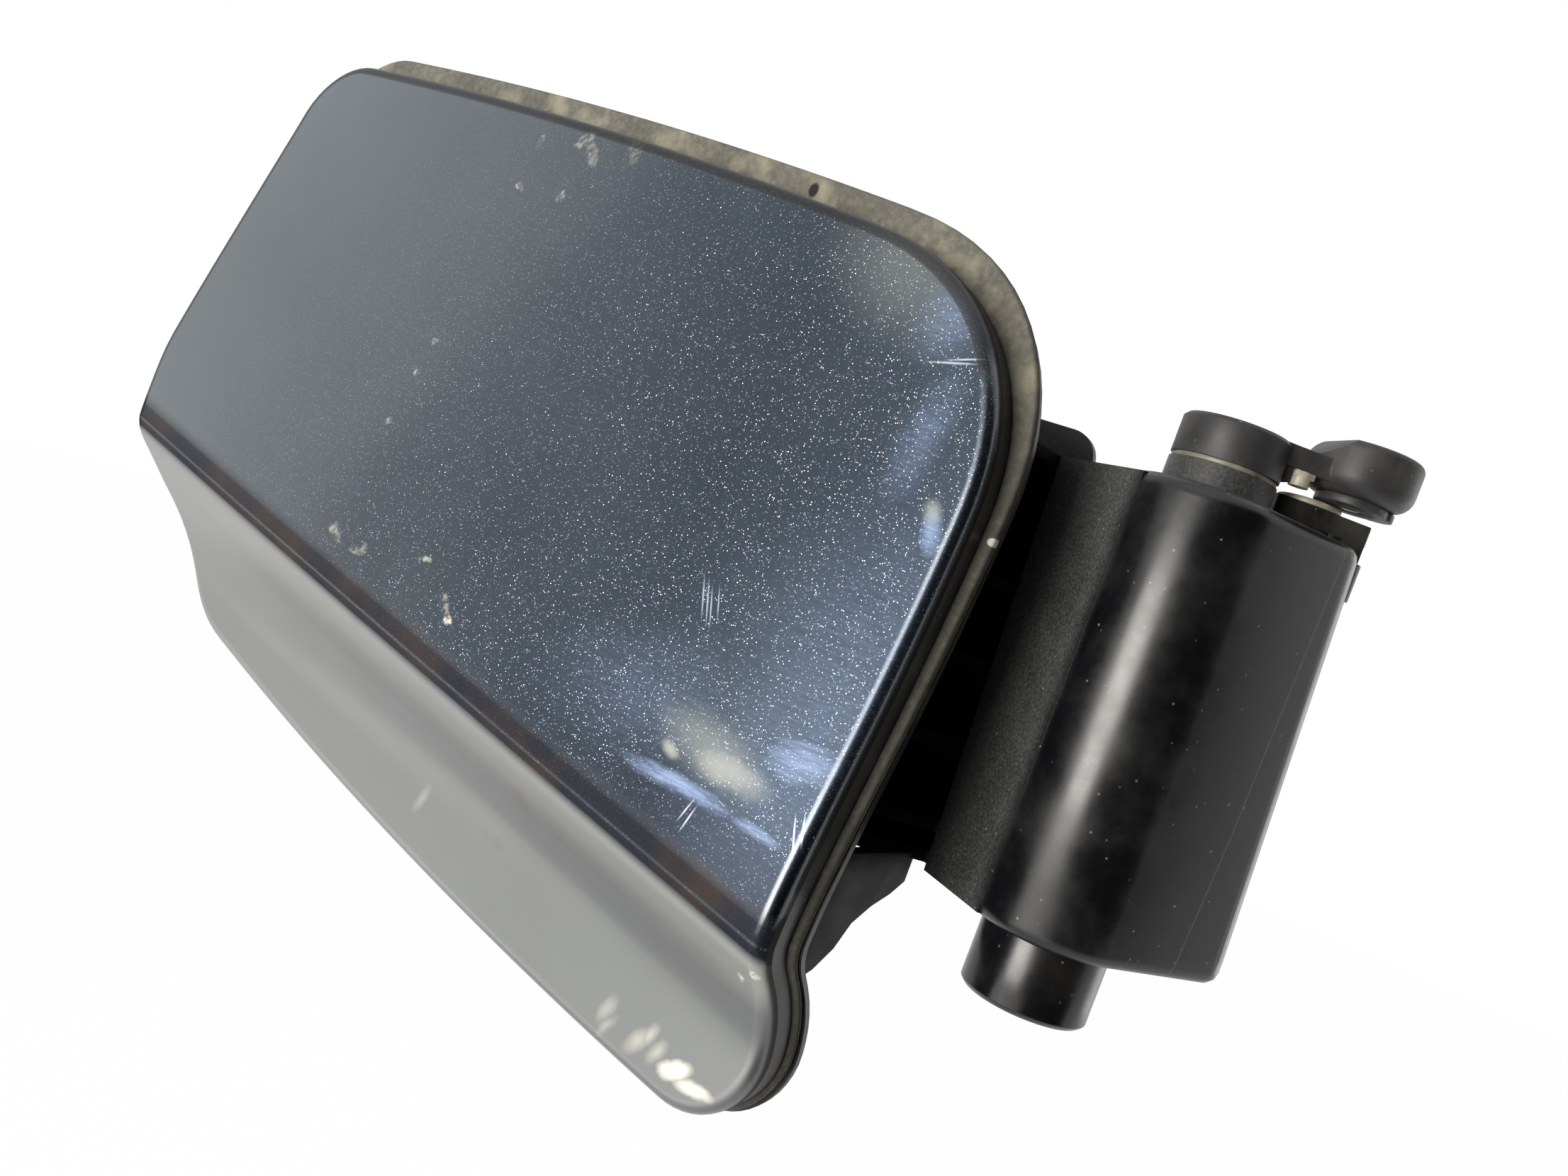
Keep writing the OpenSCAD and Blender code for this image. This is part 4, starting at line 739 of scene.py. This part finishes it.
# Hinge and catch
FLAP, MOUNT = "flap", "hinge_mount"
for name, body, node_name, slot, paint, bevel in [
    ("gooseneck_arm", FLAP, "hinge_arm", "arm_plastic", ARM, 0.3),
    ("arm_screw_heads", FLAP, "arm_screws", "zinc_steel", ZINC, 0.3),
    ("spindle_and_trunnion", MOUNT, "hinge_spindle", "spindle_plastic", SPINDLE, 0.25),
    ("trunnion_end_plug", MOUNT, "trunnion_plug", "carrier_plastic", CARRIER, 0.2),
    ("ivory_washer", MOUNT, "sliding_washer", "ivory_plastic", WASHER, 0.15),
    ("dumbbell_link", MOUNT, "hinge_link", "link_plastic", LINK, 0.4),
    ("link_screw_head", MOUNT, "link_screw", "zinc_steel", ZINC, 0.12),
    ("catch_tab", MOUNT, "catch_plate", "link_plastic", LINK, 0.2),
    ("catch_rivet_shank", MOUNT, "catch_rivet", "zinc_steel", ZINC, 0.15),
    ("ivory_hook", MOUNT, "link_hook", "ivory_plastic", ACETAL, 0.25),
    ("spring_bracket", FLAP, "spring_carrier", "carrier_plastic", CARRIER, 0.25),
    ("bracket_screw", FLAP, "carrier_screw", "zinc_steel", ZINC, 0.25),
    ("slide_disc", FLAP, "slide_plate", "ivory_plastic", ACETAL, 0.15),
    ("steel_pin", FLAP, "catch_pin", "zinc_steel", ZINC, 0.15),
    ("top_bush", FLAP, "upper_bush", "ivory_plastic", ACETAL, 0.2),
    ("bottom_bush", FLAP, "lower_bush", "ivory_plastic", ACETAL, 0.2),
    ("return_spring", FLAP, "torsion_spring", "spring_steel", SPRING, 0),
    ("catch_finger", "lever", "catch_lever", "link_plastic", LINK, 0.25),
    ("striker_loop", FLAP, "latch_striker", "carrier_plastic", CARRIER, 0.4),
    ("striker_screw_heads", FLAP, "striker_screws", "zinc_steel", ZINC, 0.25),
    ("rubber_rests", FLAP, "rest_buffers", "buffer_rubber", BUFFER, 0.3),
    ("spring_clips", FLAP, "skin_clips", "zinc_steel", ZINC, 0.15),
]:
    eased_copy(name, body, node_name, paint, bevel=bevel, angle=38 if bevel else 50)

# Camera, floor and light
# Worked out from how the panel and the arm converge in the photo: the eye's place in mm, its angles in
# degrees, and its focal length and the picture's width in pixels
EYE = Vector((70.7, -226.6, 53.4)) * MM
AZ, PITCH, ROLL = (math.radians(turn) for turn in (31.6, 2.5, 20.2))
FOCAL_PX, PHOTO_PX, SENSOR = 2046, 2212, 36
ahead = Vector((-math.sin(AZ) * math.cos(PITCH), math.cos(AZ) * math.cos(PITCH), -math.sin(PITCH)))
level = Vector((math.cos(AZ), math.sin(AZ), 0))
upward = level.cross(ahead)
right = math.cos(ROLL) * level + math.sin(ROLL) * upward
up = -math.sin(ROLL) * level + math.cos(ROLL) * upward
lens = bpy.data.cameras.new("camera")
lens.sensor_width, lens.lens, lens.clip_start = SENSOR, FOCAL_PX * SENSOR / PHOTO_PX, 0.01
camera = bpy.data.objects.new("camera", lens)
bpy.context.scene.collection.objects.link(camera)
camera.matrix_world = Matrix((
    (right.x, up.x, -ahead.x, EYE.x), (right.y, up.y, -ahead.y, EYE.y),
    (right.z, up.z, -ahead.z, EYE.z), (0, 0, 0, 1)))
bpy.context.scene.camera = camera


def card(name, corners, paint):
    mesh = bpy.data.meshes.new(name)
    mesh.from_pydata(corners, [], [(0, 1, 2, 3)])
    mesh.materials.append(paint)
    flat = bpy.data.objects.new(name, mesh)
    bpy.context.scene.collection.objects.link(flat)
    return flat


def direct_rays(tree):
    """1 for rays that show the background itself: to the camera, off metal and through glass."""
    seen = add(tree, "ShaderNodeLightPath").outputs
    direct = seen["Is Camera Ray"]
    for kind in ("Is Glossy Ray", "Is Transmission Ray"):
        direct = add(tree, "ShaderNodeMath", {0: direct, 1: seen[kind]}, 0, operation="MAXIMUM")
    return direct


def pale_paper():
    """White studio paper: pale and matt; the camera, metal and glass see it as the white background."""
    paint, t = blank("studio_paper")
    share = add(t, "ShaderNodeMath", {0: direct_rays(t), 1: 0.985}, 0, operation="MULTIPLY")
    matt = add(t, "ShaderNodeBsdfDiffuse", {"Color": (0.85, 0.85, 0.85, 1)}, 0)
    white = add(t, "ShaderNodeEmission", {"Color": (1, 1, 1, 1), "Strength": 1.0}, 0)
    mix = add(t, "ShaderNodeMixShader", {0: share, 1: matt, 2: white}, 0)
    add(t, "ShaderNodeOutputMaterial", {"Surface": mix})
    return paint


def brown_felt():
    """Dark brown wool felt on the studio's flag: it only keeps white off the arm's right side."""
    paint, t = blank("felt_flag")
    felt = add(t, "ShaderNodeBsdfPrincipled", {
        "Base Color": linear("#2a221c"), "Roughness": 0.9, "Specular IOR Level": 0.1}, "BSDF")
    add(t, "ShaderNodeOutputMaterial", {"Surface": felt})
    return paint


FLOOR_Z, FLOOR_REACH = -0.5, 4
card("studio_floor", [
    (x * FLOOR_REACH, y * FLOOR_REACH, FLOOR_Z)
    for x, y in ((-1, -1), (1, -1), (1, 1), (-1, 1))], pale_paper())
# The flag stands upright from one place on the floor plan to the other
FLAG_FROM, FLAG_TO, FLAG_LOW, FLAG_HIGH = (0.16, -0.75), (0.63, 0.15), (-0.45,), (0.6,)
card("dark_flag", [
    FLAG_FROM + FLAG_LOW, FLAG_TO + FLAG_LOW, FLAG_TO + FLAG_HIGH, FLAG_FROM + FLAG_HIGH], brown_felt())

world = bpy.data.worlds.new("studio")
bpy.context.scene.world = world
world.use_nodes = True
air = world.node_tree
air.nodes.clear()
plain = add(air, "ShaderNodeBackground", {"Color": (0.95, 0.97, 1.0, 1), "Strength": 0.42}, 0)
white = add(air, "ShaderNodeBackground", {"Color": (1, 1, 1, 1), "Strength": 1.0}, 0)
mix = add(air, "ShaderNodeMixShader", {0: direct_rays(air), 1: plain, 2: white}, 0)
add(air, "ShaderNodeOutputWorld", {"Surface": mix})


def softbox(name, place, aim, size, level, colour=(1, 1, 1)):
    """Area lamp; level is its brightness against the white background."""
    lamp = bpy.data.lights.new(name, "AREA")
    lamp.shape, lamp.size, lamp.size_y, lamp.color = "RECTANGLE", size[0], size[1], colour
    lamp.energy = level * math.pi * size[0] * size[1]
    box = bpy.data.objects.new(name, lamp)
    bpy.context.scene.collection.objects.link(box)
    box.location = place
    box.rotation_euler = (Vector(aim) - Vector(place)).to_track_quat("-Z", "Y").to_euler()
    box.visible_camera = False
    return box


# Each lamp's place, aim and size are in metres; their levels give the photo's dark and light sides
MIDDLE = (-0.09, -0.03, 0.04)
softbox("high_key", (-0.1, -0.55, 0.95), MIDDLE, (0.7, 0.5), 0.5, (1.0, 0.98, 0.95))
softbox("streak", (-0.15, -0.9, 0.04), (0, 0, 0.04), (0.42, 0.45), 18.5, (1.0, 0.96, 0.9))
softbox("left_wall", (-0.95, -0.38, 0.2), (-0.2, -0.04, 0.05), (0.5, 0.7), 0.9, (0.96, 1.0, 0.97))
softbox("ground_card", (-0.42, -0.42, -0.3), (-0.11, -0.04, 0), (0.7, 0.36), 1.45, (1.0, 0.98, 0.94))
softbox("under_card", (-0.02, -0.48, -0.33), (-0.06, -0.04, 0), (0.4, 0.3), 1.2, (1.0, 0.98, 0.94))
softbox("right_card", (0.3, 0.5, 0.08), (0, 0, 0.04), (0.3, 0.5), 1.6, (1.0, 1.0, 0.97))

scene = bpy.context.scene
scene.view_settings.view_transform = "Standard"
